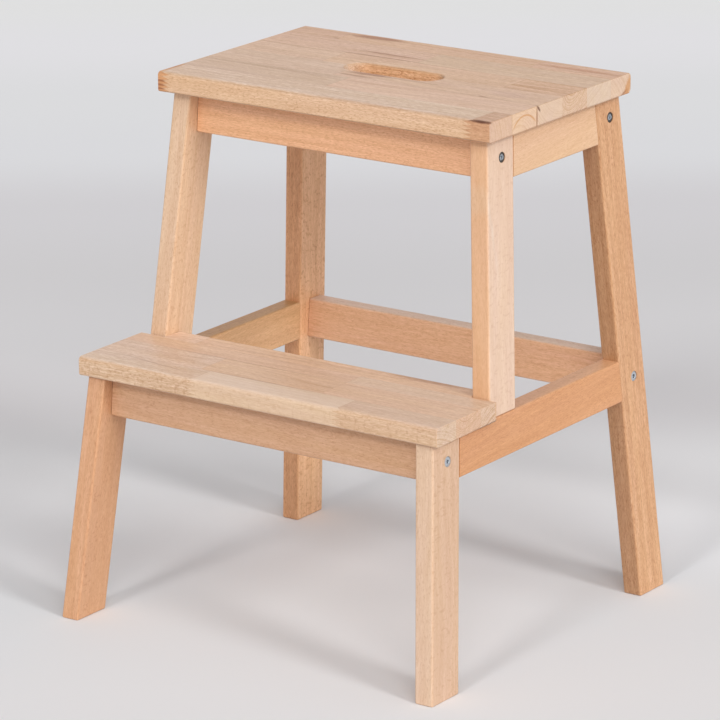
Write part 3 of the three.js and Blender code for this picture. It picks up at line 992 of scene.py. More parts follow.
# %% The figure of beech as a node group
figure, given, put = new_group(
    "beech figure",
    {"Grain": ("Vector", (0, 0, 0)), "Ring Width": ("Float", 3.2)},
    {"Rings": "Float", "Rays": "Float", "Fibres": "Float", "Pores": "Float", "Bands": "Float",
     "Clouds": "Float"})
WANDER_SIZE, WANDER_REACH = (70, 70, 320), (34, 34, 0)
YEAR_SCALE, YEAR_SWAY, WEIGHT_SPAN, LEAST_WEIGHT = 0.35, 3.0, 0.8, 0.2
LATE_RISE, LATE_FALL = (0.35, 0.93), (1.0, 0.95)
ROUND_AT, RAY_SIZE, PATCH_SIZE = 60, (0.8, 6, 3.0), (9, 30, 22)
RAY_LEVEL, PATCH_PULL, RAY_EDGE = 0.65, -0.16, 0.12
FIBRE_SIZE, PORE_SIZE = (0.8, 0.8, 36), (0.85, 0.85, 5.2)
BAND_SIZE, CLOUD_SIZE = (4.5, 4.5, 170), (16, 16, 210)

# The grain bends slowly, and the bent place gives the distance from the heart and the angle round it.
wander = noise(figure, given["Grain"], WANDER_SIZE, detail=1, output="Color")
wander = vector_node(figure, "SUBTRACT", wander, (0.5, 0.5, 0.5))
wander = vector_node(figure, "MULTIPLY", wander, WANDER_REACH)
bent = vector_node(figure, "ADD", given["Grain"], wander)
x, y, z = split(figure, bent)
radius = length(figure, combine(figure, x, y))
angle = number_node(figure, "ARCTAN2", y, x)

# Years are unevenly wide, each darkens towards its end, and some are stronger than others.
years = number_node(figure, "DIVIDE", radius, given["Ring Width"])
uneven = add_node(figure, "TexNoise", {"W": years, "Scale": YEAR_SCALE, "Detail": 1},
                  noise_dimensions="1D").outputs[0]
years = number_node(figure, "MULTIPLY_ADD", uneven, YEAR_SWAY, years)
season = number_node(figure, "FRACT", years)
late = times(figure, fade(figure, season, *LATE_RISE), fade(figure, season, *LATE_FALL))
year = number_node(figure, "FLOOR", years)
weight = add_node(figure, "TexWhiteNoise", {"W": year}, noise_dimensions="1D").outputs["Value"]
weight = number_node(figure, "MULTIPLY_ADD", weight, WEIGHT_SPAN, LEAST_WEIGHT)
join(figure, times(figure, late, weight), put["Rings"])

# Rays are the peaks of a noise in the log's round coordinates, and they crowd in patches.
log_place = combine(figure, times(figure, angle, ROUND_AT), radius, z)
rays = noise(figure, log_place, RAY_SIZE, detail=1)
patches = noise(figure, log_place, PATCH_SIZE, detail=1)
level = number_node(figure, "MULTIPLY_ADD", patches, PATCH_PULL, RAY_LEVEL)
join(figure, fade(figure, less(figure, rays, level), 0.0, RAY_EDGE), put["Rays"])

join(figure, noise(figure, given["Grain"], FIBRE_SIZE, detail=3, roughness=0.65), put["Fibres"])
join(figure, noise(figure, given["Grain"], PORE_SIZE, roughness=0.6), put["Pores"])
join(figure, noise(figure, bent, BAND_SIZE), put["Bands"])
join(figure, noise(figure, bent, CLOUD_SIZE), put["Clouds"])
print("beech figure:", len(figure.nodes), "nodes")

# %% [markdown]
# # Beech, as it is sanded and oiled
# The figure gives masks, and this group turns them into a colour, a roughness and a height. Rings and rays
# darken the timber's own colour, clouds shift it between pink and straw, end grain drinks more oil and turns
# deeper, and rounded edges get a painted shade that makes them a little darker. The height is tiny: open
# fibres and rays leave only a few hundredths of a millimetre.

# %% The finish of beech as a node group
finish, given, put = new_group(
    "beech finish",
    {"Timber": ("Color", (0.6, 0.4, 0.25, 1)), "Grain": ("Vector", (0, 0, 0)), "Ring Width": ("Float", 3.2),
     "Ring Depth": ("Float", 0.3), "Ray Depth": ("Float", 0.3), "Fine Depth": ("Float", 0.5),
     "End": ("Float", 0), "Edge": ("Float", 0)},
    {"Color": "Color", "Roughness": "Float", "Height": "Float"})
masks = use_group(finish, figure, {"Grain": given["Grain"], "Ring Width": given["Ring Width"]})
SUMMER_TINT, RAY_TINT = (0.80, 0.66, 0.52), (0.70, 0.54, 0.42)
# The edge tint is a painted shade on rounded edges.
END_TINT, EDGE_SHADE_TINT = (0.98, 0.96, 0.94), (0.97, 0.95, 0.93)
STRAW_TINT, PINK_TINT = (1.03, 1.02, 0.93, 1), (0.98, 0.95, 1.0, 1)
DARK_FIBRE, PALE_FIBRE = (0.86, 0.79, 0.70), (1.14, 1.21, 1.30)
FINE_WEIGHTS = {"Fibres": 2.0, "Pores": 3.1, "Bands": 1.5}
ROUGH, ROUGH_FIBRES, ROUGH_END, ROUGH_EDGE = 0.40, 0.14, 0.12, -0.06
RAY_RELIEF, RING_RELIEF = -0.35, -0.25

toned = mix(finish, masks["Clouds"], PINK_TINT, STRAW_TINT)
wooden = mix(finish, 1.0, given["Timber"], toned, "MULTIPLY")
wooden = tinted(finish, times(finish, masks["Rings"], given["Ring Depth"]), wooden, SUMMER_TINT)
wooden = tinted(finish, times(finish, masks["Rays"], given["Ray Depth"]), wooden, RAY_TINT)
for name, weight in FINE_WEIGHTS.items():
    dark, pale = [tuple(1 + weight * (c - 1) for c in tint) + (1,) for tint in (DARK_FIBRE, PALE_FIBRE)]
    wooden = mix(finish, given["Fine Depth"], wooden, mix(finish, masks[name], dark, pale), "MULTIPLY")
wooden = tinted(finish, given["End"], wooden, END_TINT)
join(finish, tinted(finish, given["Edge"], wooden, EDGE_SHADE_TINT), put["Color"])

rough = number_node(finish, "MULTIPLY_ADD", masks["Fibres"], ROUGH_FIBRES, ROUGH)
rough = number_node(finish, "MULTIPLY_ADD", given["End"], ROUGH_END, rough)
join(finish, number_node(finish, "MULTIPLY_ADD", given["Edge"], ROUGH_EDGE, rough), put["Roughness"])
height = number_node(finish, "MULTIPLY_ADD", masks["Rays"], RAY_RELIEF, masks["Fibres"])
join(finish, number_node(finish, "MULTIPLY_ADD", masks["Rings"], RING_RELIEF, height), put["Height"])
print("beech finish:", len(finish.nodes), "nodes")

# %% [markdown]
# # Streaks, knots and cracks
# No board is even: a dark line follows a seam, a small knot pulls the grain, an end has dried and cracked.
# Each is one soft, ragged spot in the solid wood, stretched and turned to its shape. A Mapping node of the
# TEXTURE kind brings any spot back to a ball of radius 1, so one node group serves them all.

# %% The soft, ragged spot as a node group
SPOT_OUTER, SPOT_INNER = 1.65, 0.95
ragged, given, put = new_group(
    "ragged spot", {"Ball": ("Vector", (0, 0, 0)), "Uneven": ("Float", 0.5)}, {"Mask": "Float"})
away = number_node(ragged, "ADD", length(ragged, given["Ball"]), given["Uneven"])
join(ragged, fade(ragged, away, SPOT_OUTER, SPOT_INNER), put["Mask"])


def spot(tree, place, uneven, centre, size, turn):
    """Where a spot of the given half sizes lies round a centre, in millimetres, turned in degrees."""
    ball = add_node(tree, "Mapping", {
        "Vector": place, "Location": centre, "Scale": size,
        "Rotation": [math.radians(t) for t in turn]}, vector_type="TEXTURE").outputs[0]
    return use_group(tree, ragged, {"Ball": ball, "Uneven": uneven})["Mask"]


def marked(tree, place, uneven, timber, marks):
    """A timber colour with marks, each a centre, half sizes, a turn, a depth and a tint."""
    for centre, size, turn, depth, tint in marks:
        share = times(tree, spot(tree, place, uneven, centre, size, turn), depth)
        timber = tinted(tree, share, timber, tint)
    return timber


def object_place(tree):
    """The place on the stool in millimetres."""
    place = add_node(tree, "TexCoord").outputs["Object"]
    return add_node(tree, "VectorMath", {0: place, "Scale": 1 / MM}, operation="SCALE").outputs["Vector"]


print("ragged spot:", len(ragged.nodes), "nodes")

# %% [markdown]
# # Wood for the bars
# Legs and rails share the finish, read from the attributes of each bar. They are two materials, so that the
# rings of each can be tuned alone. The legs have one mark: the right post is paler in front near its top.

# %% Materials for legs and rails
BUMP_STRENGTH, BUMP_DISTANCE = 0.5, 0.08 * MM
FINE_DEPTH, BAR_RAY_DEPTH = 0.5, 0.36
BAR_RAGGED = (3, 3, 40)


def new_material(name):
    """A material with one shader. Returns it with its tree and shader."""
    material = bpy.data.materials.new(name)
    material.use_nodes = True
    tree = material.node_tree
    tree.nodes.clear()
    shader = add_node(tree, "BsdfPrincipled")
    join(tree, shader.outputs[0], add_node(tree, "OutputMaterial").inputs["Surface"])
    return material, tree, shader


def finish_shader(tree, shader, made):
    """Feeds a finish group's outputs to a shader."""
    join(tree, made["Color"], shader.inputs["Base Color"])
    join(tree, made["Roughness"], shader.inputs["Roughness"])
    relief(tree, shader, made["Height"], BUMP_STRENGTH, BUMP_DISTANCE)


def bar_material(name, ring_width, ring_depth, marks=()):
    """The wood of bars that carry the grain, timber, bold, end and edge attributes."""
    material, tree, shader = new_material(name)
    bold = attribute(tree, "bold")
    place = object_place(tree)
    uneven = noise(tree, place, BAR_RAGGED)
    timber = marked(tree, place, uneven, attribute(tree, "timber", "Vector"), marks)
    made = use_group(tree, finish, {
        "Timber": timber, "Grain": attribute(tree, "grain", "Vector"), "Ring Width": ring_width,
        "Ring Depth": times(tree, bold, ring_depth), "Ray Depth": times(tree, bold, BAR_RAY_DEPTH),
        "Fine Depth": times(tree, bold, FINE_DEPTH), "End": attribute(tree, "end"),
        "Edge": attribute(tree, "edge")})
    finish_shader(tree, shader, made)
    return material


PALE_TINT, PALE_HEIGHT = (1.0, 1.07, 1.14), 425
POST_MARKS = [((154, post_front(PALE_HEIGHT), PALE_HEIGHT), (40, 4, 100), (8, 0, 0), 1.0, PALE_TINT)]
leg_beech = bar_material("leg_beech", 3.4, 0.21, POST_MARKS)
rail_beech = bar_material("rail_beech", 3.0, 0.20)
print("bar materials:", leg_beech.name, rail_beech.name)

# %% [markdown]
# # Boards glued up from staves
# The boards are edge-glued from narrow staves, and each stave is finger-jointed from shorter lengths, so a
# board is a patchwork of slightly different timbers. On the front edge the fingers show as a zigzag, on top
# only as a straight line. Modelling each block would make dozens of touching solids; a node group that
# answers "which stave is this, and which length of it?" gives the same look on one clean board.
# A constant colour ramp is a small table: it holds one entry for each stave. One ramp holds where the two
# joints of a stave lie, three hold the timber of its lengths, and one holds where the heart of the log lay.

# %% A table of staves as a node group
FINGER_PITCH, FINGER_REACH = 3.8, 5
GLUE_LINE, SEAM_LINE = (0.7, 0.1), (0.22, 0.05)
FAR, BOLDEST = 400, 4
# How far apart in the grain the logs of two staves lie, then two lengths of one stave, along and across.
SEED_STEP, LENGTH_STEP, LENGTH_SHIFT = 4000, 900, 13


def stave_table(tree, position, staves, low, high, entry):
    """A constant ramp across the board, with one colour and one more number for each stave."""
    share = number_node(tree, "DIVIDE", less(tree, position, low), high - low)
    entries = [(max(0, (row["from"] - low) / (high - low)), entry(row)) for row in staves]
    return colour_ramp(tree, share, entries, "CONSTANT")


def packed(value):
    """A place from -FAR to FAR as a number from 0 to 1, as a ramp can hold it."""
    return (value + FAR) / (2 * FAR)


def unpacked(tree, share):
    """The place that a packed number stands for."""
    return number_node(tree, "MULTIPLY_ADD", share, 2 * FAR, -FAR)


def stave_group(name, staves, low, high):
    """A group that gives the timber, the place in the log, the boldness and the glue lines at a place."""
    tree, given, put = new_group(
        name, {"Place": ("Vector", (0, 0, 0))},
        {"Timber": "Color", "Grain": "Vector", "Boldness": "Float", "Glue": "Float"})
    x, y, z = split(tree, given["Place"])

    def joints_entry(row):
        return (*(packed(j) for j in row["joints"]), row["seed"], 1)

    def heart_entry(row):
        return (*(packed(h) for h in row["heart"]), 0, 1)

    joints = stave_table(tree, y, staves, low, high, joints_entry)["Color"]
    hearts = stave_table(tree, y, staves, low, high, heart_entry)["Color"]
    first, second, seed = split(tree, joints)
    zigzag = number_node(tree, "PINGPONG", z, FINGER_PITCH / 2)
    zigzag = number_node(tree, "MULTIPLY_ADD", zigzag, 4 * FINGER_REACH / FINGER_PITCH, -FINGER_REACH)
    beyond_first = number_node(tree, "ADD", less(tree, x, unpacked(tree, first)), zigzag)
    beyond_second = less(tree, less(tree, x, unpacked(tree, second)), zigzag)
    in_second = number_node(tree, "GREATER_THAN", beyond_first, 0)
    in_third = number_node(tree, "GREATER_THAN", beyond_second, 0)

    tables = []
    for n in range(3):
        tables.append(stave_table(tree, y, staves, low, high,
                                  lambda row: (*linear(*row["timber"][n]), row["bold"][n] / BOLDEST)))

    def of_length(socket):
        first_two = mix(tree, in_second, tables[0][socket], tables[1][socket])
        return mix(tree, in_third, first_two, tables[2][socket])

    join(tree, of_length("Color"), put["Timber"])
    join(tree, times(tree, of_length("Alpha"), BOLDEST), put["Boldness"])

    length_number = number_node(tree, "ADD", in_second, in_third)
    shift = number_node(tree, "MULTIPLY_ADD", seed, SEED_STEP, times(tree, length_number, LENGTH_STEP))
    heart_y, heart_z, _ = split(tree, hearts)
    across = less(tree, y, unpacked(tree, heart_y))
    across = number_node(tree, "ADD", across, times(tree, length_number, LENGTH_SHIFT))
    up = less(tree, z, unpacked(tree, heart_z))
    join(tree, combine(tree, across, up, number_node(tree, "ADD", x, shift)), put["Grain"])

    near = number_node(tree, "MINIMUM", number_node(tree, "ABSOLUTE", beyond_first),
                       number_node(tree, "ABSOLUTE", beyond_second))
    glue = fade(tree, near, *GLUE_LINE)
    for row in staves[1:]:
        off_seam = number_node(tree, "ABSOLUTE", less(tree, y, row["from"]))
        glue = number_node(tree, "MAXIMUM", glue, fade(tree, off_seam, *SEAM_LINE))
    join(tree, glue, put["Glue"])
    return tree


print("fingers every", FINGER_PITCH, "mm")

# %% [markdown]
# # The staves of the two boards
# The staves are listed from the front of a board to its rear, as they would be laid out on the bench. Chance
# could pick their widths, joints and timbers, but here they repeat the layout of this stool, so they are
# written out.

# %% Lay out the staves
def stave(start, seed, joints, heart, bold, *timber):
    """A stave: where it starts, a number for its log, its two joints, its heart, how bold the figure of its
    three lengths is, and their timbers."""
    return {"from": start, "seed": seed, "joints": joints, "heart": heart, "bold": bold, "timber": timber}


SEAT_STAVES = [
    stave(-66.63, 0.11, (-175, 160), (-120, 492), (1.0, 1.25, 1.2),
          (204, 158, 120), (212, 185, 163), (198, 160, 132)),
    stave(-30.8, 0.23, (-16.3, FAR), (-12, 471), (1, 1, 1),
          (203, 174, 151), (214, 181, 158), (214, 181, 158)),
    stave(10, 0.37, (-36.3, FAR), (90, 560), (1, 1, 1),
          (208, 179, 157), (209, 176, 151), (209, 176, 151)),
    stave(51.4, 0.49, (-78, 115), (98, 518), (1.2, 1.2, 2.0),
          (210, 178, 153), (210, 175, 147), (207, 170, 140)),
    stave(92.5, 0.63, (0, FAR), (60, 560), (1.2, 1, 1),
          (207, 172, 148), (206, 176, 150), (206, 176, 150)),
    stave(133.5, 0.78, (-121, 90), (100, 440), (1, 1, 1.2),
          (203, 166, 139), (207, 170, 141), (204, 166, 138)),
]
STEP_STAVES = [
    stave(-173.29, 0.17, (-70.5, 92), (-176, 150), (1.2, 0.5, 0.9),
          (211, 185, 162), (219, 196, 174), (212, 184, 160)),
    stave(-143, 0.31, (-82, 54.5), (-90, 300), (1.3, 1, 1),
          (212, 184, 161), (213, 180, 149), (217, 184, 155)),
    stave(-103.8, 0.57, (FAR, 54.5), (-60, 200), (1, 1, 1),
          (214, 180, 151), (214, 180, 151), (216, 188, 163)),
    stave(-81, 0.83, (-135, FAR), (-90, 180), (1, 1, 1),
          (220, 190, 165), (217, 182, 150), (217, 182, 150)),
]
seat_staves = stave_group("seat staves", SEAT_STAVES, SEAT_LOW[1], SEAT_HIGH[1])
step_staves = stave_group("step staves", STEP_STAVES, STEP_LOW[1], STEP_BACK)
print("staves:", len(SEAT_STAVES), "in the seat and", len(STEP_STAVES), "in the step")

# %% [markdown]
# # Marks on the boards
# These are the marks that the two boards of this stool show: brown streaks beside the hand hole, reddish
# fingers at the left corner, a crack at the right one. Some are painted shade: a dark line at the rear edge
# of the seat and a thin line under its right end; a band along the rear edge of the step's tongue is partly
# darker wood and partly painted shade. They could be painted on an image, but as spots in the solid wood they
# run over an edge from face to face, as real marks do.

# %% List the marks and the tones of the end grain
BROWN_TINT, RED_TINT, LILAC_TINT = (0.60, 0.44, 0.35), (0.86, 0.70, 0.60), (0.93, 0.90, 0.95)
CRACK_TINT, REAR_EDGE_SHADE_TINT = (0.25, 0.15, 0.1), (0.50, 0.38, 0.32)
ORANGE_TINT, RING_TINT = (0.85, 0.62, 0.40), (0.87, 0.68, 0.48)
# Stretches along Y, in millimetres, whose end grain is paler or warmer than the faces of the same stave.
SEAT_ENDS = [(-70, -30.8, (1.10, 1.12, 1.18)), (-30.8, 10, (1.0, 0.95, 0.86)),
             (51.4, 92.5, (0.98, 0.99, 1.03)), (92.5, 133.5, (1.02, 1.03, 1.08)),
             (133.5, 180, (1.06, 1.13, 1.21))]
STEP_ENDS = [(-180, -143, (1.03, 1.07, 1.08)), (-143, -103.8, (0.97, 0.96, 0.96))]
# Each mark: its centre, its half sizes, its turn, its depth and its tint.
SEAT_MARKS = [
    # On top, from the rear edge towards the front
    ((-92, 158.5, 500), (36, 7, 3), (0, 0, 2), 1.0, BROWN_TINT),
    ((136, 150, 500), (46, 5, 3), (0, 0, 0), 0.8, RED_TINT),
    # A painted shade on the rear rounding: a dark line along the seat's rear edge.
    ((30, 173, 499), (180, 6, 8), (0, 0, 0), 1.0, REAR_EDGE_SHADE_TINT),
    ((-126, 137.5, 500), (4, 1.6, 2), (0, 0, 0), 0.7, BROWN_TINT),
    ((-42, 106.5, 500), (46, 2.8, 3), (0, 0, -1.5), 0.8, BROWN_TINT),
    ((-46, 94, 500), (52, 2.6, 3), (0, 0, 0), 0.75, BROWN_TINT),
    ((-13, 29.5, 500), (26, 5.0, 3), (0, 0, 0), 0.95, BROWN_TINT),
    ((30, 29, 500), (50, 1.8, 3), (0, 0, 0), 0.5, BROWN_TINT),
    ((-20, 18.5, 500), (24, 3.0, 3), (0, 0, -2), 0.7, BROWN_TINT),
    ((139, 32, 500), (25, 11, 3), (0, 0, 0), 0.8, LILAC_TINT),
    ((123.5, 13, 500), (7, 1.6, 3), (0, 0, 0), 0.8, BROWN_TINT),
    ((-100, 4, 500), (82, 6, 3), (0, 0, 0), 0.25, BROWN_TINT),
    # At the left end, the last three being the fingers at its corner
    ((-181, -44, 498), (2.5, 22, 4), (0, 0, 0), 0.5, BROWN_TINT),
    ((-181, -67, 491.7), (9, 5, 1.2), (0, 0, 0), 1.0, BROWN_TINT),
    ((-181, -67, 487.8), (9, 5, 1.2), (0, 0, 0), 1.0, BROWN_TINT),
    ((-181, -67, 484.2), (8, 5, 1.2), (0, 0, 0), 1.0, BROWN_TINT),
    # At the right end, from the crack at its front corner to the rear
    ((173, -64.2, 499), (13, 2.6, 1.8), (0, 0, 0), 1.0, CRACK_TINT),
    ((183, 10, 489), (7, 1.4, 13), (0, 0, 0), 1.0, BROWN_TINT),
    # A painted shade along the lower edge of the right end.
    ((184, 50, 480.6), (3, 175, 2.0), (0, 0, 0), 0.5, BROWN_TINT),
    ((183, 12.8, 497), (4, 5, 1.4), (-48, 0, 0), 0.9, CRACK_TINT),
    ((183, 163, 487), (6, 5, 15), (-30, 0, 0), 1.0, ORANGE_TINT),
    ((183, 155, 482.5), (6, 7, 1.5), (25, 0, 0), 0.8, BROWN_TINT),
]
STEP_MARKS = [
    ((-126, -151.3, 250), (54, 1.4, 3), (0, 0, -8.3), 0.4, BROWN_TINT),
    ((-14, -143, 250), (70, 1.4, 3), (0, 0, 0), 0.45, BROWN_TINT),
    ((-60, -103.8, 250), (115, 1.1, 3), (0, 0, 0), 0.5, BROWN_TINT),
    # Along the rear edge of the tongue, partly darker wood and partly painted shade.
    ((110, -60, 250), (50, 5.5, 3), (0, 0, 0), 0.55, BROWN_TINT),
    ((-40, -72, 250), (90, 1.2, 3), (0, 0, 1.5), 0.35, BROWN_TINT),
]
print("marks on the seat:", len(SEAT_MARKS), "and on the step:", len(STEP_MARKS))

# %% [markdown]
# # Wood for the boards
# A board's material asks its stave group for the timber and the place in the log, adds glue lines, marks and
# the tones of the end grain, and gives the whole to the same finish as the bars. One stave of the seat was
# cut close to the heart of its log, and a strong dark ring shows round it on the right end. That ring has to
# lie in an exact place, so it is a tube of its own and not left to the noise.

# %% Materials for the two boards
GLUE_TINT, GLUE_BY_RAYS, LEAST_GLUE = (0.80, 0.68, 0.58), 0.6, 0.25
# Painted shade on the boards' rounded edges, deepest on the seat.
SEAT_EDGE_SHADE, STEP_EDGE_SHADE = (0.79, 0.75, 0.70), (0.96, 0.95, 0.94)
BOARD_RINGS, BOARD_RAGGED = 3.0, (8, 0.9, 0.9)
BOARD_DEPTHS = {"Fine Depth": FINE_DEPTH, "Ray Depth": 0.30, "Ring Depth": 0.26}
# The heart's Y and Z, the radius of its ring and how soft it is, the stave's reach along Y, and the heights
# between which the ring fades in.
SEAT_HEART = {"at": (-10.2, 473.5), "radius": 21.8, "line": (1.3, 0.3), "stave": (-30.8, 10),
              "above": (485, 490)}


def heart_ring(tree, place, heart):
    """The dark ring round the heart of a stave, a tube along the board."""
    _, y, z = split(tree, place)
    away = length(tree, combine(tree, less(tree, y, heart["at"][0]), less(tree, z, heart["at"][1])))
    off = number_node(tree, "ABSOLUTE", less(tree, away, heart["radius"]))
    in_stave = times(tree, between(tree, y, *heart["stave"]), fade(tree, z, *heart["above"]))
    return times(tree, fade(tree, off, *heart["line"]), in_stave)


def board_material(name, staves, marks, end_tints, edge_shade, heart=None):
    """The wood of a board that carries the tone, figure, end and edge attributes."""
    material, tree, shader = new_material(name)
    place, end, edge = object_place(tree), attribute(tree, "end"), attribute(tree, "edge")
    layout = use_group(tree, staves, {"Place": place})
    shares = split(tree, attribute(tree, "figure", "Vector"))
    timber = mix(tree, 1.0, layout["Timber"], attribute(tree, "tone", "Vector"), "MULTIPLY")

    seen_glue = number_node(tree, "MULTIPLY_ADD", shares[1], GLUE_BY_RAYS, LEAST_GLUE)
    timber = tinted(tree, times(tree, layout["Glue"], seen_glue), timber, GLUE_TINT)
    # Rounded edges get a painted shade.
    timber = tinted(tree, edge, timber, edge_shade)
    uneven = noise(tree, place, BOARD_RAGGED, detail=3, roughness=0.6)
    timber = marked(tree, place, uneven, timber, marks)
    if heart:
        timber = tinted(tree, heart_ring(tree, place, heart), timber, RING_TINT)
    y = split(tree, place)[1]
    for low, high, tint in end_tints:
        timber = tinted(tree, times(tree, between(tree, y, low, high), end), timber, tint)

    depths = {}
    for (socket, depth), share in zip(BOARD_DEPTHS.items(), shares):
        depths[socket] = times(tree, times(tree, layout["Boldness"], share), depth)
    made = use_group(tree, finish, {
        "Timber": timber, "Grain": layout["Grain"], "Ring Width": BOARD_RINGS, **depths, "End": end,
        "Edge": edge})
    finish_shader(tree, shader, made)
    return material


seat_beech = board_material("seat_beech", seat_staves, SEAT_MARKS, SEAT_ENDS, SEAT_EDGE_SHADE, SEAT_HEART)
step_beech = board_material("step_beech", step_staves, STEP_MARKS, STEP_ENDS, STEP_EDGE_SHADE)
print("board materials:", seat_beech.name, step_beech.name)

# %% [markdown]
# # Zinc and dowels
# The screws are steel with a thin bright coat of zinc, which tumbling in the plating drum leaves slightly
# mottled and scratched. The dowels are turned beech rods that never show, but they get a plain form of the
# same wood, read from their own place on the stool.

# %% Materials for screws and dowels
MOTTLE_SIZE, SCRATCH_SIZE = (1.6, 1.6, 1.6), (0.25, 2.5, 0.25)
DARKER_ZINC, PALER_ZINC = (0.56, 0.60, 0.65, 1), (0.76, 0.79, 0.82, 1)
# The two dark zincs below are painted: the first is shade in the sockets and on the upper heads, the second a
# dark reflection on the rims.
SHADE_ZINC, REFLECTION_DARK_ZINC = (0.15, 0.165, 0.18, 1), (0.10, 0.09, 0.085, 1)
SHADE_SHARE, RIM_SHADE_FROM_TO = 0.42, (0.1, 0.6)
ZINC_ROUGHNESS, SCRATCH_ROUGHNESS, SCRATCH_STRENGTH, SCRATCH_HEIGHT = 0.22, 0.25, 0.3, 0.03 * MM

zinc_steel, tree, shader = new_material("zinc_steel")
place = object_place(tree)
scratch = noise(tree, place, SCRATCH_SIZE)
zinc = mix(tree, noise(tree, place, MOTTLE_SIZE, detail=3), DARKER_ZINC, PALER_ZINC)
zinc = mix(tree, times(tree, attribute(tree, "zinc_shade"), SHADE_SHARE), zinc, SHADE_ZINC)
zinc = mix(tree, fade(tree, attribute(tree, "rim"), *RIM_SHADE_FROM_TO), zinc, REFLECTION_DARK_ZINC)
join(tree, zinc, shader.inputs["Base Color"])
rough = number_node(tree, "MULTIPLY_ADD", scratch, SCRATCH_ROUGHNESS, ZINC_ROUGHNESS)
join(tree, rough, shader.inputs["Roughness"])
shader.inputs["Metallic"].default_value = 1
relief(tree, shader, scratch, SCRATCH_STRENGTH, SCRATCH_HEIGHT)

DOWEL_TIMBER, DOWEL_RINGS = (*linear(224, 184, 142), 1), 2.6
dowel_beech, tree, shader = new_material("dowel_beech")
dowel_wood = {"Timber": DOWEL_TIMBER, "Grain": object_place(tree), "Ring Width": DOWEL_RINGS}
finish_shader(tree, shader, use_group(tree, finish, dowel_wood))
print("zinc and dowel materials ready")

# %% [markdown]
# # Putting each material on, and joining the stool
# Every new piece stands for one of the exact solids, which is then hidden, and rides on the stool's one
# body. The dowels stay the exact solids and only get a better material.

# %% Dress the stool
def wear(piece, material):
    """Gives a piece one material."""
    piece.data.materials.clear()
    piece.data.materials.append(material)
    return piece


def stand_for(piece, node, material):
    """Shows a piece in the place of a solid."""
    wear(piece, material)
    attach(piece, "root")
    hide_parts(node)


# For each word in the name of a piece, its material and its slot.
WOODS = {
    "seat_board": (seat_beech, "board_beech"),
    "step_board": (step_beech, "board_beech"),
    "rail": (rail_beech, "rail_beech"),
    "leg": (leg_beech, "leg_beech"),
    "post": (leg_beech, "leg_beech"),
}
for node, piece in wood.items():
    for word, (material, slot) in WOODS.items():
        if word in node:
            stand_for(piece, node, material)
for node, piece in steel.items():
    stand_for(piece, node, zinc_steel)
for node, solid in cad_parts.items():
    if node.startswith("dowel_"):
        for material_slot in solid.material_slots:
            material_slot.material = dowel_beech

# %% [markdown]
# # Floor and light
# The stool stands on a pale floor that runs back without a visible corner, as in a small studio. The floor
# is a plane whose tone changes slowly with its depth in the camera's view, a painted light that stands in for
# how the studio light falls off, and round the stool it is painted paler, a painted light that softens the
# stool's shadow. A curved sheet would be nearer to a real studio, but from this height only the floor is
# seen.

# %% Make the floor
FLOOR_SIZE, FLOOR_CUTS, FLOOR_ROUGHNESS, FLOOR_SHINE = 16, 3, 0.75, 0.15
VIEW_TURN = math.radians(35.2)
# Painted light: the floor is paler round the stool, which softens its shadow.
PAINTED_LIGHT_REACH, PAINTED_FLOOR_LIGHT = (0.50, 0.12), (1.04, 1.04, 1.04)
# The depth of each tone, in metres behind the stool as the camera sees it, and the tone. The tones are
# painted light: they follow how the studio light falls off with depth, and they are paler near the stool's
# depth, where its shadow falls.
FLOOR_LIGHT_TONES = [(-0.30, (231, 230, 231)), (0.00, (225, 226, 228)), (0.15, (236, 236, 238)),
               (0.42, (232, 231, 232)), (0.62, (223, 220, 221)), (0.90, (218, 216, 217)),
               (1.15, (215, 213, 214)), (1.45, (218, 216, 218)), (1.75, (228, 228, 230)),
               (2.05, (230, 230, 231)), (2.40, (235, 234, 236)), (2.70, (235, 235, 234))]
FLOOR_NEAR, FLOOR_FAR = FLOOR_LIGHT_TONES[0][0], FLOOR_LIGHT_TONES[-1][0]

bpy.ops.object.select_all(action="DESELECT")
bpy.ops.mesh.primitive_plane_add(size=FLOOR_SIZE)
floor = bpy.context.object
floor.name = "floor"
pick(floor, "FACE", lambda f: True)
bpy.ops.mesh.subdivide(number_cuts=FLOOR_CUTS)
close(floor)

studio_floor, tree, shader = new_material("studio_floor")
place = add_node(tree, "TexCoord").outputs["Object"]
depth = add_node(tree, "VectorMath", {0: place, 1: (-math.sin(VIEW_TURN), math.cos(VIEW_TURN), 0)},
                 operation="DOT_PRODUCT").outputs["Value"]
share = add_node(tree, "MapRange", {"Value": depth, "From Min": FLOOR_NEAR, "From Max": FLOOR_FAR}).outputs[0]
entries = [((where - FLOOR_NEAR) / (FLOOR_FAR - FLOOR_NEAR), (*linear(*tone), 1))
           for where, tone in FLOOR_LIGHT_TONES]
toned = colour_ramp(tree, share, entries, "EASE")["Color"]
light_round_stool = fade(tree, length(tree, place), *PAINTED_LIGHT_REACH)
join(tree, tinted(tree, light_round_stool, toned, PAINTED_FLOOR_LIGHT), shader.inputs["Base Color"])
shader.inputs["Roughness"].default_value = FLOOR_ROUGHNESS
shader.inputs["Specular IOR Level"].default_value = FLOOR_SHINE
wear(floor, studio_floor)
print("floor", FLOOR_SIZE, "m wide")

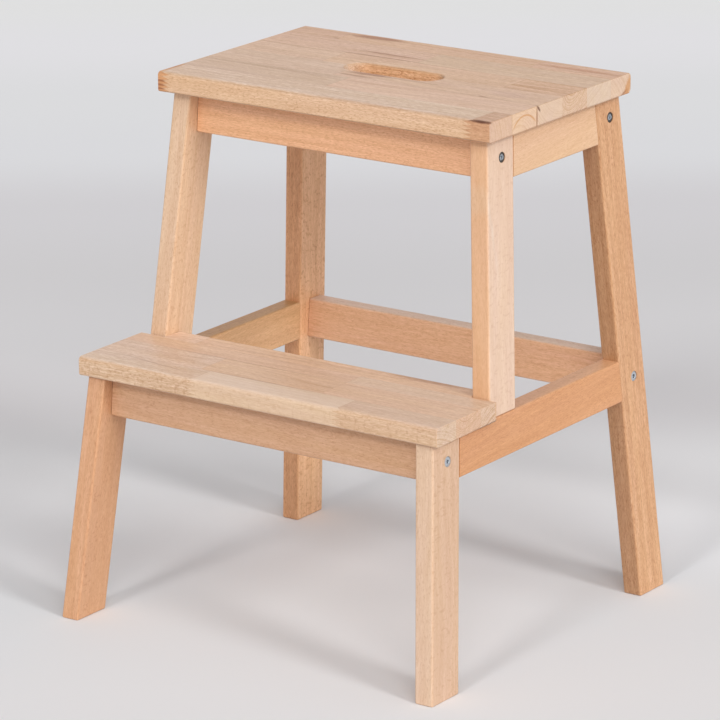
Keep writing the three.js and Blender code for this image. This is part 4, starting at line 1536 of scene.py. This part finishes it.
# %% [markdown]
# # Light
# Four soft lamps light the stool: one from the right, a low one beside it that reaches under the boards, one
# from the front and one from near the camera. A pale surrounding light fills the shadows. Area lamps near the
# stool would light its near side more than its far side. Sun lamps with a wide angle give the same soft
# shadows and an even light, at which a colour renders about as it is written. The backdrop that the camera
# and reflections see has a brightness of its own, apart from the light it sheds.

# %% Set the lamps and the surrounding light
# Each lamp: its turn from the front towards the right and its height above the floor, in degrees, then the
# width of the lamp as the stool sees it, in degrees, and its strength.
LAMPS = {
    "lamp_right": (80, 31, 13, 1.08),
    "lamp_low": (76, 10, 34, 0.30),
    "lamp_front": (2, 35, 11, 0.72),
    "lamp_camera": (42, 38, 34, 0.98),
}
SIDE_LIGHT, TOP_LIGHT, BACKDROP, SKY = 0.46, 0.34, 0.85, (0.98, 0.98, 1.0, 1)


def add_lamp(name, turn, height, width, strength):
    """A sun lamp that shines towards the stool."""
    data = bpy.data.lights.new(name, "SUN")
    data.energy, data.angle = strength, math.radians(width)
    lamp = add_object(name, data)
    turn, height = math.radians(turn), math.radians(height)
    level = math.cos(height)
    towards = Vector((math.sin(turn) * level, -math.cos(turn) * level, math.sin(height)))
    lamp.rotation_euler = towards.to_track_quat("Z", "Y").to_euler()


for name, settings in LAMPS.items():
    add_lamp(name, *settings)

world = bpy.data.worlds.new("studio")
bpy.context.scene.world = world
world.use_nodes = True
tree = world.node_tree
tree.nodes.clear()
up = split(tree, add_node(tree, "TexCoord").outputs["Generated"])[2]
around = add_node(tree, "MapRange", {"Value": up, "To Min": SIDE_LIGHT, "To Max": TOP_LIGHT}).outputs[0]
rays = add_node(tree, "LightPath").outputs
seen = number_node(tree, "MAXIMUM", rays["Is Camera Ray"], rays["Is Glossy Ray"])
strength = mix(tree, seen, around, (BACKDROP, BACKDROP, BACKDROP, 1))
sky = add_node(tree, "Background", {"Color": SKY, "Strength": strength})
join(tree, sky.outputs[0], add_node(tree, "OutputWorld").inputs["Surface"])
print("lamps:", len(LAMPS), "surrounding light from", SIDE_LIGHT, "to", TOP_LIGHT)
